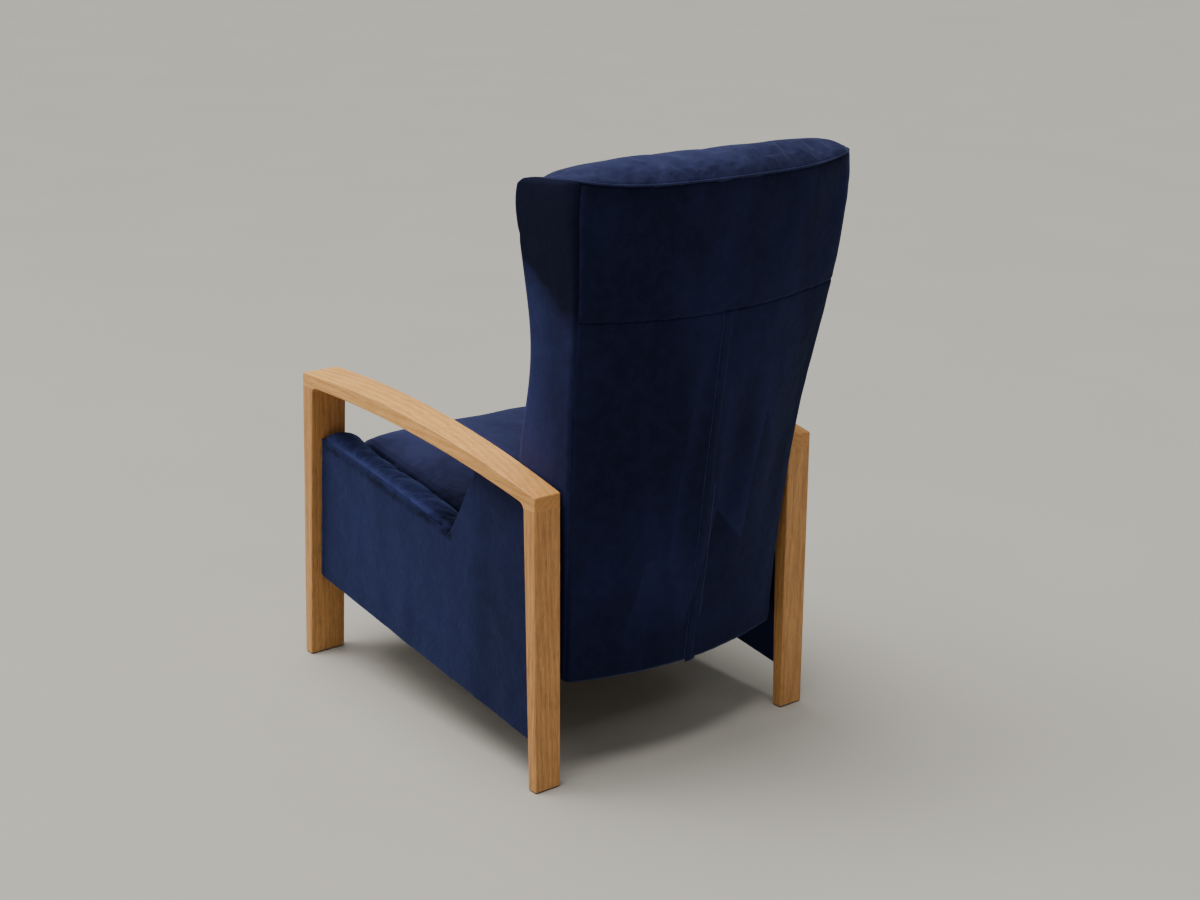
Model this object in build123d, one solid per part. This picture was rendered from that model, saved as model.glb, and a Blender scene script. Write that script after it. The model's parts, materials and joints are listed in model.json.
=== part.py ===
from build123d import *
import math
import os

# Reclining armchair: two oak side frames carry a velvet seat box, a seat that slides and a back that reclines.
# The sitter's left is +X, the front faces -Y and the floor is z = 0. All lengths are in millimetres.
# The model is drawn with y = 0 midway between the feet, and moved to the middle of its outline at the end.

# Oak side frames
frame_width = 664.0
frame_depth = 782.0
front_height = 603.0
rear_height = 557.0
arm_end_thickness = 26.0
arm_top_rise = 25.5
arm_under_rise = 22.0
board_width_front = 80.0
board_width_rear = 56.0
foot_thickness = 22.0
head_thickness = 34.0
front_leg_lean = 9.0
rear_leg_lean = 18.0
frame_inner_radius = 15.0
frame_corner_radius = 4.0
frame_edge_radius = 2.5
dowel_diameter = 8.0
dowel_length = 44.0
dowel_depth_in_arm = 18.0
dowel_shares = (0.28, 0.72)
glide_diameter = 18.0
glide_height = 3.0
glide_nail_diameter = 4.0
glide_nail_length = 14.0
glide_share = 0.5
long_edge_share = 0.9

# Side panels, a plywood board under a padded velvet cover
panel_inset = 23.0
cover_thickness = 3.0
side_board_thickness = 10.0
panel_front_bottom = 173.0
panel_rear_bottom = 76.0
panel_front_drop = 12.0
panel_notch_y = 96.0
panel_notch_drop = 54.0
panel_rise_y = 190.0
panel_gap = 1.0
panel_corner_radius = 10.0
panel_pin_diameter = 6.0
panel_pin_length = 36.0
panel_pin_height_shares = (0.15, 0.45, 0.75)

# Padded rolls on the side panels
roll_width = 87.0
roll_front_rise = 19.0
roll_rear_drop = 32.0
roll_front_depth = 111.0
roll_rear_depth = 108.0
roll_rear_y = 110.0
roll_tail_y = 200.0
roll_tail_drop = 54.0
roll_tail_depth = 28.0
roll_leg_gap = 3.0
roll_inner_radius = 24.0
roll_outer_radius = 13.0
roll_outer_radius_share = 0.8
roll_crown = 3.0
facing_thickness = 36.0
facing_bottom = 184.0

# Cross rails between the side boards
cross_rail_thickness = 22.0
cross_rail_height = 60.0
front_rail_y = -240.0
front_rail_drop = 282.0
rear_rail_y = 70.0
rear_rail_drop = 334.0
rail_bolt_diameter = 6.0
rail_bolt_length = 50.0
rail_bolt_shares = (0.25, 0.75)

# Seat, in its own slope: u runs down the slope to the rear, w stands square to it
seat_slope = 9.0
seat_edge_y = -320.0
seat_edge_height = 458.0
cushion_thickness = 83.0
cushion_side_gap = 4.0
cushion_front_u = -50.0
cushion_rear_u = 545.0
cushion_crown = 11.0
cushion_draw_in = 3.0
cushion_nose_radius = 34.0
cushion_edge_radius = 16.0
cushion_end_crown = 2.0
cushion_radius_share = 0.42
cushion_turn_angles = (0.0, 30.0, 60.0, 90.0)
cushion_station_shares = (0.25, 0.5, 0.75)
webbing_thickness = 2.0
webbing_width = 55.0
webbing_count = 6
seat_rail_thickness = 22.0
seat_rail_height = 50.0
seat_front_rail_u = 8.0
seat_rear_rail_u = 510.0

# Slide of the seat
steel_thickness = 4.0
shoe_length = 26.0
shoe_height = 16.0
shoe_width = 6.0
shoe_drop = 39.0
front_shoe_u = 150.0
rear_shoe_u = 440.0
shoe_pin_diameter = 10.0
shoe_pin_grip = 14.0
running_gap = 0.3
slide_wall = 11.0
plate_screw_diameter = 5.0
plate_screw_depth = 7.0
pivot_screw_drop = 35.0

# Recline of the back
pivot_y = 285.0
pivot_drop = 58.0
recline_angle = 28.0
pivot_diameter = 12.0
pivot_head_diameter = 20.0
pivot_head_thickness = 3.0
pin_clearance = 0.05
bush_diameter = 20.0
bush_flange_diameter = 28.0
bush_flange_thickness = 2.0
pivot_boss_radius = 22.0
spacer_diameter = 20.0
spacer_bore_gap = 2.0
drive_radius = 120.0
drive_pin_diameter = 10.0
drive_pin_length = 14.0
drive_boss_radius = 12.0
fork_gap = 2.0
fork_slot_gap = 0.5
fork_wall = 5.5
fork_slot_spare = 2.0
fork_root_radius = 18.0
bracket_foot_drop = 170.0
bracket_boss_radius = 12.0
bracket_screw_diameter = 5.0
bracket_screw_depth = 16.0
bracket_screw_shares = (0.0, 0.33, 0.67, 1.0)
bracket_pivot_radius = 16.0

# Back, as level sections: a share at every level places each size between its own low and high value
hem_height = 183.0
hem_spare = 5.0
crest_height = 1140.0
crest_spare = 20.0
back_bottom_gap = 42.0
back_top_gap = 11.0
back_bottom_corner_y = 369.0
back_top_corner_y = 459.0
back_bulge = 50.0
back_front_y = 236.0
back_waist_y = 299.0
back_hollow = 22.0
back_level_shares = (0.0, 0.124, 0.246, 0.379, 0.481, 0.572, 0.664, 0.756, 0.847, 0.939, 1.0)
back_width_shares = (0.0, 0.046, 0.123, 0.231, 0.369, 0.515, 0.631, 0.754, 0.877, 0.969, 1.0)
back_corner_shares = (0.0, 0.046, 0.126, 0.247, 0.368, 0.517, 0.695, 0.828, 0.908, 0.954, 1.0)
back_bulge_shares = (0.72, 0.88, 1.0, 1.0, 1.0, 0.92, 0.78, 0.7, 0.7, 0.8, 0.84)
back_front_shares = (0.0, 0.0, 0.0, 0.03, 0.38, 0.81, 1.0, 0.9, 0.77, 0.64, 0.6)
back_hollow_shares = (-0.364, -0.455, -0.545, -0.545, -0.273, 0.091, 0.455, 0.727, 0.909, 1.0, 1.0)
back_corner_radius = 14.0
lower_front_y = 340.0
lumbar_drop = 21.0
rear_seam_drop = 274.0
head_seam_drop = 140.0
crest_y = 430.0
crest_front_y = 284.0
crest_front_drop = 68.0
crest_rear_y = 497.0
crest_rear_drop = 39.0
crest_front_run = 60.0
crest_front_fall = 60.0
crest_rear_run = 60.0
crest_rear_fall = 84.0
crest_side_drop = 36.0
crest_side_radius = 24.0
welt_front_drop = 52.0
welt_front_y = 300.0
welt_rear_drop = 34.0
welt_rear_y = 472.0
back_lean = 5.18
back_frame_y = 326.5
back_frame_height = 190.0
stile_depth = 24.0
stile_width = 24.0
stile_gap = 66.0
stile_bend_gap = 8.0
stile_top_gap = 32.0
stile_top_drop = 70.0
back_rail_height = 44.0
back_rail_height_shares = (0.0, 0.25, 0.58, 0.95)
wing_gap = 0.5
placket_width = 26.0
placket_thickness = 2.5
lining_thickness = 2.0

# Foot rest flap
flap_nose_radius = 14.0
flap_lift_gap = 5.0
flap_hinge_u = -32.0
flap_bottom = 180.0
flap_pad_thickness = 30.0
flap_board_thickness = 12.0
flap_edge_radius = 9.0
flap_crown = 4.0
flap_side_gap = 10.0
flap_plate_thickness = 3.0
flap_plate_gap = 0.5
hinge_pin_diameter = 8.0
hinge_head_diameter = 14.0
hinge_boss_radius = 12.0
hinge_foot_u = 60.0
hinge_screw_diameter = 4.0
hinge_screw_depth = 15.0
hinge_screw_shares = (0.45, 1.0)
flap_screw_shares = (0.65, 0.35)

# One overrun serves all cuts
overrun = 60.0

# Places worked out from the sizes above
panel_front_top = seat_edge_height - panel_front_drop
panel_notch_height = seat_edge_height - panel_notch_drop
roll_front_top = seat_edge_height + roll_front_rise
roll_rear_top = seat_edge_height - roll_rear_drop
roll_tail_top = seat_edge_height - roll_tail_drop
roll_front_bottom = roll_front_top - roll_front_depth
roll_rear_bottom = roll_rear_top - roll_rear_depth
roll_tail_bottom = roll_tail_top - roll_tail_depth
front_rail_bottom = seat_edge_height - front_rail_drop
rear_rail_bottom = seat_edge_height - rear_rail_drop
pivot_height = seat_edge_height - pivot_drop
lumbar_bottom = pivot_height - lumbar_drop
rear_seam_height = crest_height - rear_seam_drop
head_seam_height = crest_height - head_seam_drop
crest_front_height = crest_height - crest_front_drop
crest_rear_height = crest_height - crest_rear_drop
crest_side_height = crest_height - crest_side_drop
welt_front_height = crest_height - welt_front_drop
welt_rear_height = crest_height - welt_rear_drop
stile_top_height = crest_height - stile_top_drop
stile_bend_height = pivot_height + 2 * bracket_boss_radius + stile_bend_gap
half_width = frame_width / 2
half_depth = frame_depth / 2
cover_outer_x = half_width - panel_inset
board_outer_x = cover_outer_x - cover_thickness
board_inner_x = board_outer_x - side_board_thickness
plate_inner_x = board_inner_x - steel_thickness
roll_inner_x = cover_outer_x - roll_width
stile_outer_x = board_inner_x - stile_gap
back_bottom_half_width = board_inner_x - back_bottom_gap
back_top_half_width = half_width - back_top_gap
stile_top_outer_x = back_top_half_width - stile_top_gap
cushion_half_width = roll_inner_x - cushion_side_gap
flap_half_width = cushion_half_width - flap_side_gap
seat_frame_half_width = flap_half_width + flap_plate_thickness + flap_plate_gap
bracket_outer_x = stile_outer_x + steel_thickness
fork_inner_x = bracket_outer_x + fork_gap
rail_top_w = -cushion_thickness - webbing_thickness
rail_middle_w = rail_top_w - seat_rail_height / 2
shoe_w = rail_top_w - shoe_drop
drive_swing = math.radians(recline_angle / 2)
drive_y = pivot_y + drive_radius * math.sin(drive_swing)
drive_height = pivot_height - drive_radius * math.cos(drive_swing)
slope = math.radians(seat_slope)
seat_travel = 2 * drive_radius * math.sin(drive_swing) / math.cos(slope)
seat_rise = seat_travel * math.sin(slope)

seat_place = Pos(0, seat_edge_y, seat_edge_height) * Rot(-seat_slope, 0, 0)
back_place = Pos(0, back_frame_y, back_frame_height) * Rot(-back_lean, 0, 0)


def seat_point(u, w):
    # Level place (y, z) of a point given on the seat's slope
    y = seat_edge_y + u * math.cos(slope) + w * math.sin(slope)
    z = seat_edge_height - u * math.sin(slope) + w * math.cos(slope)
    return (y, z)


def between(low, high, share):
    return low + (high - low) * share


def block(x_range, y_range, z_range):
    # Box given by its lowest and highest corners
    size = [high - low for low, high in (x_range, y_range, z_range)]
    centre = [(high + low) / 2 for low, high in (x_range, y_range, z_range)]
    return Pos(*centre) * Box(*size)


def slab(face, x_low, x_high):
    # Side-view face, drawn as (y, z), given its thickness along x
    return Pos(x_low, 0, 0) * extrude(Plane.YZ * face, x_high - x_low)


def round_bar(diameter, x_low, x_high, y, z):
    # Bar along x
    bar = Rot(0, 90, 0) * Cylinder(diameter / 2, x_high - x_low)
    return Pos((x_low + x_high) / 2, y, z) * bar


def pin_along_y(diameter, y_low, y_high, x, z):
    bar = Rot(90, 0, 0) * Cylinder(diameter / 2, y_high - y_low)
    return Pos(x, (y_low + y_high) / 2, z) * bar


def pin_along_z(diameter, x, y, z_low, z_high):
    return Pos(x, y, (z_low + z_high) / 2) * Cylinder(diameter / 2, z_high - z_low)


def strap(*circles):
    # Flat bar outline that wraps circles, each given as (y, z, radius)
    edges = []
    for y, z, radius in circles:
        edges += (Pos(y, z) * Circle(radius)).edges()
    return make_hull(edges)


def both(part):
    # The part and its mirror image on the other side
    return [part, mirror(part, about=Plane.YZ)]


def group(parts):
    return Compound([solid for part in parts for solid in part.solids()])


# Side view of the oak frame
def front_leg_front(z):
    return between(-half_depth, -half_depth + front_leg_lean, z / front_height)


def rear_leg_rear(z):
    return between(half_depth, half_depth - rear_leg_lean, z / rear_height)


def front_leg_rear(z):
    return front_leg_front(z) + between(foot_thickness, head_thickness, z / front_height)


def rear_leg_front(z):
    return rear_leg_rear(z) - between(foot_thickness, head_thickness, z / rear_height)


def arm_curve(front, rear, rise):
    middle = ((front[0] + rear[0]) / 2, (front[1] + rear[1]) / 2 + rise)
    return ThreePointArc(front, middle, rear)


def under_arm(y):
    # Height of the arm's underside
    share = (y - front_leg_front(front_height)) / (rear_leg_rear(rear_height) - front_leg_front(front_height))
    chord = between(front_height, rear_height, share) - arm_end_thickness
    return chord + 4 * arm_under_rise * share * (1 - share)


def leg_face(outer, inner, foot_z, top_z):
    points = [(outer(foot_z), foot_z), (inner(foot_z), foot_z), (inner(top_z), top_z), (outer(top_z), top_z)]
    return make_face(Polyline(*points, close=True))


def side_frame():
    joint_front = front_height - arm_end_thickness
    joint_rear = rear_height - arm_end_thickness
    corners = [
        (front_leg_front(front_height), front_height),
        (rear_leg_rear(rear_height), rear_height),
        (rear_leg_rear(joint_rear), joint_rear),
        (front_leg_front(joint_front), joint_front),
    ]
    outline = arm_curve(corners[0], corners[1], arm_top_rise) + Line(corners[1], corners[2])
    outline += arm_curve(corners[3], corners[2], arm_under_rise) + Line(corners[3], corners[0])
    face = make_face(outline)
    face += leg_face(front_leg_front, front_leg_rear, glide_height, front_height - arm_end_thickness / 2)
    face += leg_face(rear_leg_rear, rear_leg_front, glide_height, rear_height - arm_end_thickness / 2)
    face = face.clean()
    inner = [v for v in face.vertices() if abs(v.Y - under_arm(v.X)) < arm_end_thickness / 4
             and abs(v.X) < half_depth - head_thickness / 2 - front_leg_lean]
    face = fillet(inner, frame_inner_radius)
    tops = [v for v in face.vertices() if v.Y > rear_height - frame_corner_radius
            and abs(v.X) > half_depth - head_thickness]
    face = fillet(tops, frame_corner_radius)
    frame = slab(face, half_width - board_width_front, half_width)
    plan = [
        (half_width, -half_depth),
        (half_width, half_depth),
        (half_width - board_width_rear, half_depth),
        (half_width - board_width_front, -half_depth),
    ]
    frame = frame & extrude(make_face(Polyline(*plan, close=True)), front_height + overrun)
    long_edges = [e for e in frame.edges() if abs(e.tangent_at(e.length / 2).X) < long_edge_share
                  and e.bounding_box().max.Z > glide_height + frame_edge_radius]
    return fillet(long_edges, frame_edge_radius)


parts = {}


def add(name, *solids):
    parts[name] = solids[0] if len(solids) == 1 else group(solids)


def add_both(name, part):
    # Two alike pieces in one node
    add(name, *both(part))


def add_pair(name, part):
    add("left_" + name, part)
    add("right_" + name, mirror(part, about=Plane.YZ))


def cut_all(part, cutters):
    for cutter in cutters:
        part = part - cutter
    return part


# Oak frame, cut at the joints under the arm, with its dowels and glides
def leg_plan(y, share):
    # Place of a dowel or glide across the board, from its inner face
    board = between(board_width_front, board_width_rear, (y + half_depth) / frame_depth)
    return half_width - board + board * share


def build_oak():
    frame = side_frame()
    joint_front = front_height - arm_end_thickness
    joint_rear = rear_height - arm_end_thickness
    reach = (-overrun, half_width + overrun)
    front_zone = block(reach, (-half_depth - overrun, -half_depth / 2), (-overrun, joint_front))
    rear_zone = block(reach, (half_depth / 2, half_depth + overrun), (-overrun, joint_rear))
    front_leg = frame & front_zone
    rear_leg = frame & rear_zone
    arm = frame - front_zone - rear_zone
    dowels = []
    for leg_front, leg_rear, joint in (
        (front_leg_front, front_leg_rear, joint_front),
        (rear_leg_front, rear_leg_rear, joint_rear),
    ):
        y = (leg_front(joint) + leg_rear(joint)) / 2
        for share in dowel_shares:
            top = joint + dowel_depth_in_arm
            dowels.append(pin_along_z(dowel_diameter, leg_plan(y, share), y, top - dowel_length, top))
    glides = []
    for leg_front, leg_rear in ((front_leg_front, front_leg_rear), (rear_leg_front, rear_leg_rear)):
        y = (leg_front(0) + leg_rear(0)) / 2
        x = leg_plan(y, glide_share)
        nail = pin_along_z(glide_nail_diameter, x, y, glide_height, glide_height + glide_nail_length)
        glides.append(pin_along_z(glide_diameter, x, y, 0, glide_height) + nail)
    arm = cut_all(arm, dowels)
    front_leg = cut_all(front_leg, dowels + glides + panel_pins())
    rear_leg = cut_all(rear_leg, dowels + glides + panel_pins())
    add_pair("arm", arm)
    add_pair("front_leg", front_leg)
    add_pair("rear_leg", rear_leg)
    add("arm_dowels", *[p for d in dowels for p in both(d)])
    add("floor_glides", *[p for g in glides for p in both(g)])


# Side panels
def panel_pins():
    pins = []
    x = (board_inner_x + board_outer_x) / 2
    for share in panel_pin_height_shares:
        z = between(panel_front_bottom, panel_front_top, share)
        y = front_leg_rear(z)
        pins.append(pin_along_y(panel_pin_diameter, y - panel_pin_length / 2, y + panel_pin_length / 2, x, z))
        z = between(panel_rear_bottom, rear_height - arm_end_thickness, share)
        y = rear_leg_front(z)
        pins.append(pin_along_y(panel_pin_diameter, y - panel_pin_length / 2, y + panel_pin_length / 2, x, z))
    return pins


def panel_face():
    front = lambda z: (front_leg_rear(z) + panel_gap, z)
    rear = lambda z: (rear_leg_front(z) - panel_gap, z)
    corner = rear_leg_front(rear_height - arm_end_thickness) - frame_inner_radius
    top_rear = under_arm(corner) - panel_gap
    points = [
        front(panel_front_bottom),
        rear(panel_rear_bottom),
        rear(top_rear - frame_inner_radius),
        (corner, top_rear),
        (panel_rise_y, under_arm(panel_rise_y) - panel_gap),
        (panel_notch_y, panel_notch_height),
        front(panel_front_top),
    ]
    face = make_face(Polyline(*points, close=True))
    low = [v for v in face.vertices() if v.Y < panel_notch_height and v.X < 0]
    return fillet(low, panel_corner_radius)


def rail_bolts():
    bolts = []
    for y, bottom in ((front_rail_y, front_rail_bottom), (rear_rail_y, rear_rail_bottom)):
        for share in rail_bolt_shares:
            z = bottom + cross_rail_height * share
            bolts.append(round_bar(rail_bolt_diameter, board_outer_x - rail_bolt_length, board_outer_x,
                                   y + cross_rail_thickness / 2, z))
    return bolts


def build_panels():
    face = panel_face()
    board = slab(face, board_inner_x, board_outer_x)
    board = cut_all(board, panel_pins() + rail_bolts() + plate_screws())
    add_pair("side_board", board)
    add_pair("side_cover", slab(face, board_outer_x, cover_outer_x))
    add("side_board_pins", *[p for pin in panel_pins() for p in both(pin)])
    for name, y, bottom in (
        ("front_cross_rail", front_rail_y, front_rail_bottom),
        ("rear_cross_rail", rear_rail_y, rear_rail_bottom),
    ):
        rail = block((-board_inner_x, board_inner_x), (y, y + cross_rail_thickness),
                     (bottom, bottom + cross_rail_height))
        add(name, cut_all(rail, [b for bolt in rail_bolts() for b in both(bolt)]))
    add("cross_rail_bolts", *[b for bolt in rail_bolts() for b in both(bolt)])


# Padded roll over each side board's front part, with a tail to the back and a facing behind the front leg
def roll_section(y, top, bottom):
    start = front_leg_rear(panel_front_top) + panel_gap
    crease = between(panel_front_top, panel_notch_height, (y - start) / (panel_notch_y - start))
    inner = (roll_inner_x, top)
    outer = (cover_outer_x, top)
    outline = ThreePointArc(inner, ((roll_inner_x + cover_outer_x) / 2, top + roll_crown), outer)
    outline += Polyline(outer, (cover_outer_x, crease), (board_inner_x, crease), (board_inner_x, bottom),
                        (roll_inner_x, bottom), inner)
    face = make_face(outline)
    middle = (top + crease) / 2
    inner_top = [v for v in face.vertices() if v.Y > middle and v.X < board_inner_x]
    face = fillet(inner_top, min(roll_inner_radius, (top - bottom) * roll_outer_radius_share))
    outer_top = [v for v in face.vertices() if v.Y > middle and v.X > board_inner_x]
    face = fillet(outer_top, min(roll_outer_radius, (top - crease) * roll_outer_radius_share))
    return Pos(0, y, 0) * (Plane.XZ * face)


def build_rolls():
    start = front_leg_rear(panel_front_top) + roll_leg_gap
    roll = loft([
        roll_section(start, roll_front_top, roll_front_bottom),
        roll_section(roll_rear_y, roll_rear_top, roll_rear_bottom),
        roll_section(roll_tail_y, roll_tail_top, roll_tail_bottom),
    ], ruled=True)
    rise = block((board_inner_x, cover_outer_x + overrun), (panel_notch_y, roll_tail_y + overrun),
                 (0, front_height))
    facing = block((roll_inner_x, board_inner_x), (start, start + facing_thickness),
                   (facing_bottom, roll_front_bottom))
    add_pair("arm_roll", roll + facing - rise)


# Steel side plates: the slots carry the seat, the bush carries the back
def shoe_centres():
    return [(front_shoe_u, shoe_w), (rear_shoe_u, shoe_w)]


def plate_screws():
    screws = []
    strip_front = seat_point(front_shoe_u - seat_travel - shoe_length, shoe_w)
    strip_rear = seat_point(rear_shoe_u + shoe_length + slide_wall, shoe_w)
    middle = seat_point((front_shoe_u + rear_shoe_u) / 2 - seat_travel, shoe_w)
    for y, z in (strip_front, middle, strip_rear, (pivot_y - pivot_screw_drop, pivot_height - pivot_screw_drop)):
        screws.append(round_bar(plate_screw_diameter, plate_inner_x, board_inner_x + plate_screw_depth, y, z))
    return screws


def build_plates():
    half = shoe_height / 2 + running_gap + slide_wall
    front = seat_point(front_shoe_u - seat_travel - shoe_length, shoe_w)
    rear = seat_point(rear_shoe_u + shoe_length + slide_wall, shoe_w)
    strip = strap((*front, half), (*rear, half))
    arm = strap((*rear, half), (pivot_y, pivot_height, pivot_boss_radius))
    plate = slab(strip + arm, plate_inner_x, board_inner_x)
    for u, w in shoe_centres():
        slot = Pos(0, u - seat_travel / 2, w) * Box(
            overrun, seat_travel + shoe_length + 2 * running_gap, shoe_height + 2 * running_gap)
        plate -= seat_place * (Pos(board_inner_x, 0, 0) * slot)
    plate -= round_bar(bush_diameter, plate_inner_x - overrun, board_inner_x + overrun, pivot_y, pivot_height)
    add_pair("slide_plate", cut_all(plate, plate_screws()))
    add("plate_screws", *[s for screw in plate_screws() for s in both(screw)])
    bore = pivot_diameter + 2 * pin_clearance
    flange_x = plate_inner_x - bush_flange_thickness
    bush = round_bar(bush_diameter, flange_x, board_inner_x, pivot_y, pivot_height)
    bush += round_bar(bush_flange_diameter, flange_x, plate_inner_x, pivot_y, pivot_height)
    bush -= round_bar(bore, flange_x - overrun, board_inner_x + overrun, pivot_y, pivot_height)
    add("pivot_bushes", *both(bush))


# Seat frame, webbing, slide shoes and forks
def seat_block(x_range, u_range, w_range):
    return seat_place * block(x_range, u_range, w_range)


def shoe_pins():
    pins = []
    for u, w in shoe_centres():
        y, z = seat_point(u, w)
        pins.append(round_bar(shoe_pin_diameter, seat_frame_half_width - shoe_pin_grip,
                              board_inner_x - running_gap, y, z))
    return pins


def build_seat_frame():
    w_range = (rail_top_w - seat_rail_height, rail_top_w)
    inner = seat_frame_half_width - seat_rail_thickness
    side_range = (seat_front_rail_u, seat_rear_rail_u)
    side = seat_block((inner, seat_frame_half_width), side_range, w_range)
    add_both("seat_side_rails", cut_all(side, shoe_pins() + hinge_screws()))
    add("seat_front_rail", seat_block(
        (-inner, inner), (seat_front_rail_u, seat_front_rail_u + seat_rail_thickness), w_range))
    add("seat_rear_rail", seat_block(
        (-fork_inner_x, fork_inner_x), (seat_rear_rail_u, seat_rear_rail_u + seat_rail_thickness), w_range))
    straps = []
    clear = (seat_rear_rail_u - seat_front_rail_u - webbing_count * webbing_width) / (webbing_count + 1)
    for index in range(webbing_count):
        u = seat_front_rail_u + clear + index * (webbing_width + clear)
        straps.append(seat_block((-seat_frame_half_width, seat_frame_half_width), (u, u + webbing_width),
                                 (rail_top_w, rail_top_w + webbing_thickness)))
    add("seat_webbing", *straps)
    shoes = []
    for u, w in shoe_centres():
        low = board_inner_x - running_gap - shoe_width
        shoe = seat_block((low, board_inner_x - running_gap), (u - shoe_length / 2, u + shoe_length / 2),
                          (w - shoe_height / 2, w + shoe_height / 2))
        shoes.append(cut_all(shoe, shoe_pins()))
    add("slide_shoes", *[s for shoe in shoes for s in both(shoe)])
    add("slide_pins", *[p for pin in shoe_pins() for p in both(pin)])
    build_forks()


def build_forks():
    slot_radius = drive_pin_diameter / 2 + fork_slot_gap
    outer = slot_radius + fork_wall
    low = drive_height - seat_rise - fork_slot_spare
    high = drive_height + fork_slot_spare
    root = seat_point(seat_rear_rail_u + seat_rail_thickness / 2, rail_middle_w)
    face = strap((*root, fork_root_radius), (drive_y, high, outer), (drive_y, low, outer))
    face -= strap((drive_y, high, slot_radius), (drive_y, low, slot_radius))
    add_both("drive_forks", slab(face, fork_inner_x, fork_inner_x + steel_thickness))


# Seat cushion: level sections across it, carried from its nose to its rear edge
def round_over(distance, radius):
    # Drop of a rounded edge at a distance in from the end it rounds
    inside = max(radius - distance, 0)
    return radius - math.sqrt(radius ** 2 - inside ** 2)


def cushion_section(u):
    from_front, from_rear = u - cushion_front_u, cushion_rear_u - u
    share = from_front / (cushion_rear_u - cushion_front_u)
    swell = 4 * share * (1 - share)
    top = -round_over(from_front, cushion_nose_radius) - round_over(from_rear, cushion_edge_radius)
    bottom = (round_over(from_front, cushion_edge_radius) + round_over(from_rear, cushion_edge_radius)
              - cushion_thickness)
    half = cushion_half_width - cushion_draw_in * swell
    crown = between(cushion_end_crown, cushion_crown, swell)
    across = ThreePointArc((-half, top), (0, top + crown), (half, top))
    across += Polyline((half, top), (half, bottom), (-half, bottom), (-half, top))
    face = make_face(across)
    face = fillet(face.vertices(), min(cushion_edge_radius, (top - bottom) * cushion_radius_share))
    return Pos(0, u, 0) * (Plane.XZ * face)


def build_cushion():
    turns = [math.radians(angle) for angle in cushion_turn_angles]
    stations = [cushion_front_u + cushion_nose_radius * (1 - math.cos(turn)) for turn in turns]
    stations += [between(cushion_front_u, cushion_rear_u, share) for share in cushion_station_shares]
    stations += [cushion_rear_u - cushion_edge_radius * (1 - math.cos(turn)) for turn in reversed(turns)]
    cushion = loft([cushion_section(u) for u in stations], ruled=True)
    add("seat_cushion", seat_place * cushion)


# Foot rest flap, hung on hinge plates under the front of the seat
def flap_hinge():
    return seat_point(flap_hinge_u, -cushion_thickness - flap_nose_radius - flap_lift_gap)


def hinge_screws():
    screws = []
    for share in hinge_screw_shares:
        y, z = seat_point(between(seat_front_rail_u, hinge_foot_u, share), rail_middle_w)
        screws.append(round_bar(hinge_screw_diameter, seat_frame_half_width - hinge_screw_depth,
                                seat_frame_half_width + flap_plate_thickness, y, z))
    return screws


def flap_screws():
    y, z = flap_hinge()
    board_y = y - flap_nose_radius + flap_pad_thickness + flap_board_thickness / 2
    screws = []
    for share in flap_screw_shares:
        screws.append(round_bar(hinge_screw_diameter, flap_half_width - hinge_screw_depth,
                                flap_half_width + flap_plate_thickness, board_y, between(flap_bottom, z, share)))
    return screws


def build_flap():
    y, z = flap_hinge()
    front = y - flap_nose_radius
    pad_rear = front + flap_pad_thickness
    board_rear = pad_rear + flap_board_thickness
    nose = Pos(y, z) * Circle(flap_nose_radius)
    body = make_face(Polyline((front, flap_bottom), (pad_rear, flap_bottom), (pad_rear, z), (front, z), close=True))
    low = [v for v in body.vertices() if v.Y < (flap_bottom + z) / 2 and v.X < (front + pad_rear) / 2]
    profile = fillet(low, flap_edge_radius) + nose
    pad = slab(profile, -flap_half_width, flap_half_width)
    plan = ThreePointArc((-flap_half_width, front), (0, front - flap_crown), (flap_half_width, front))
    plan += Polyline((flap_half_width, front), (flap_half_width, pad_rear),
                     (-flap_half_width, pad_rear), (-flap_half_width, front))
    crown = extrude(make_face(plan), z) & block((-half_width, half_width), (-half_depth - overrun, pad_rear),
                                                (flap_bottom + flap_edge_radius, z))
    pad = pad + crown
    bores = [b for pin in hinge_pins() for b in both(pin)]
    add("footrest_pad", cut_all(pad, bores))
    board = block((-flap_half_width, flap_half_width), (pad_rear, board_rear),
                  (flap_bottom + flap_edge_radius, z - flap_nose_radius))
    add("footrest_board", cut_all(board, [s for screw in flap_screws() for s in both(screw)]))
    board_y = (pad_rear + board_rear) / 2
    ends = [(board_y, between(flap_bottom, z, share), hinge_boss_radius / 2) for share in flap_screw_shares]
    face = strap((y, z, hinge_boss_radius), *ends)
    plate = slab(face, flap_half_width, flap_half_width + flap_plate_thickness)
    add_both("footrest_plates", cut_all(plate, hinge_pins() + flap_screws()))
    add("footrest_screws", *[s for screw in flap_screws() for s in both(screw)])
    add("footrest_hinge_pins", *[p for pin in hinge_pins() for p in both(pin)])
    foot = seat_point(hinge_foot_u, rail_middle_w)
    face = strap((y, z, hinge_boss_radius), (*foot, hinge_boss_radius))
    bracket = slab(face, seat_frame_half_width, seat_frame_half_width + flap_plate_thickness)
    bore = round_bar(hinge_pin_diameter + 2 * pin_clearance, 0, half_width, y, z)
    add_both("footrest_brackets", cut_all(bracket - bore, hinge_screws()))
    add("bracket_screws", *[s for screw in hinge_screws() for s in both(screw)])


def hinge_pins():
    y, z = flap_hinge()
    outer = seat_frame_half_width + flap_plate_thickness
    pin = round_bar(hinge_pin_diameter, flap_half_width, outer + flap_plate_gap, y, z)
    pin += round_bar(hinge_head_diameter, outer + flap_plate_gap, outer + flap_plate_gap + flap_plate_thickness, y, z)
    return [pin]


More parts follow.
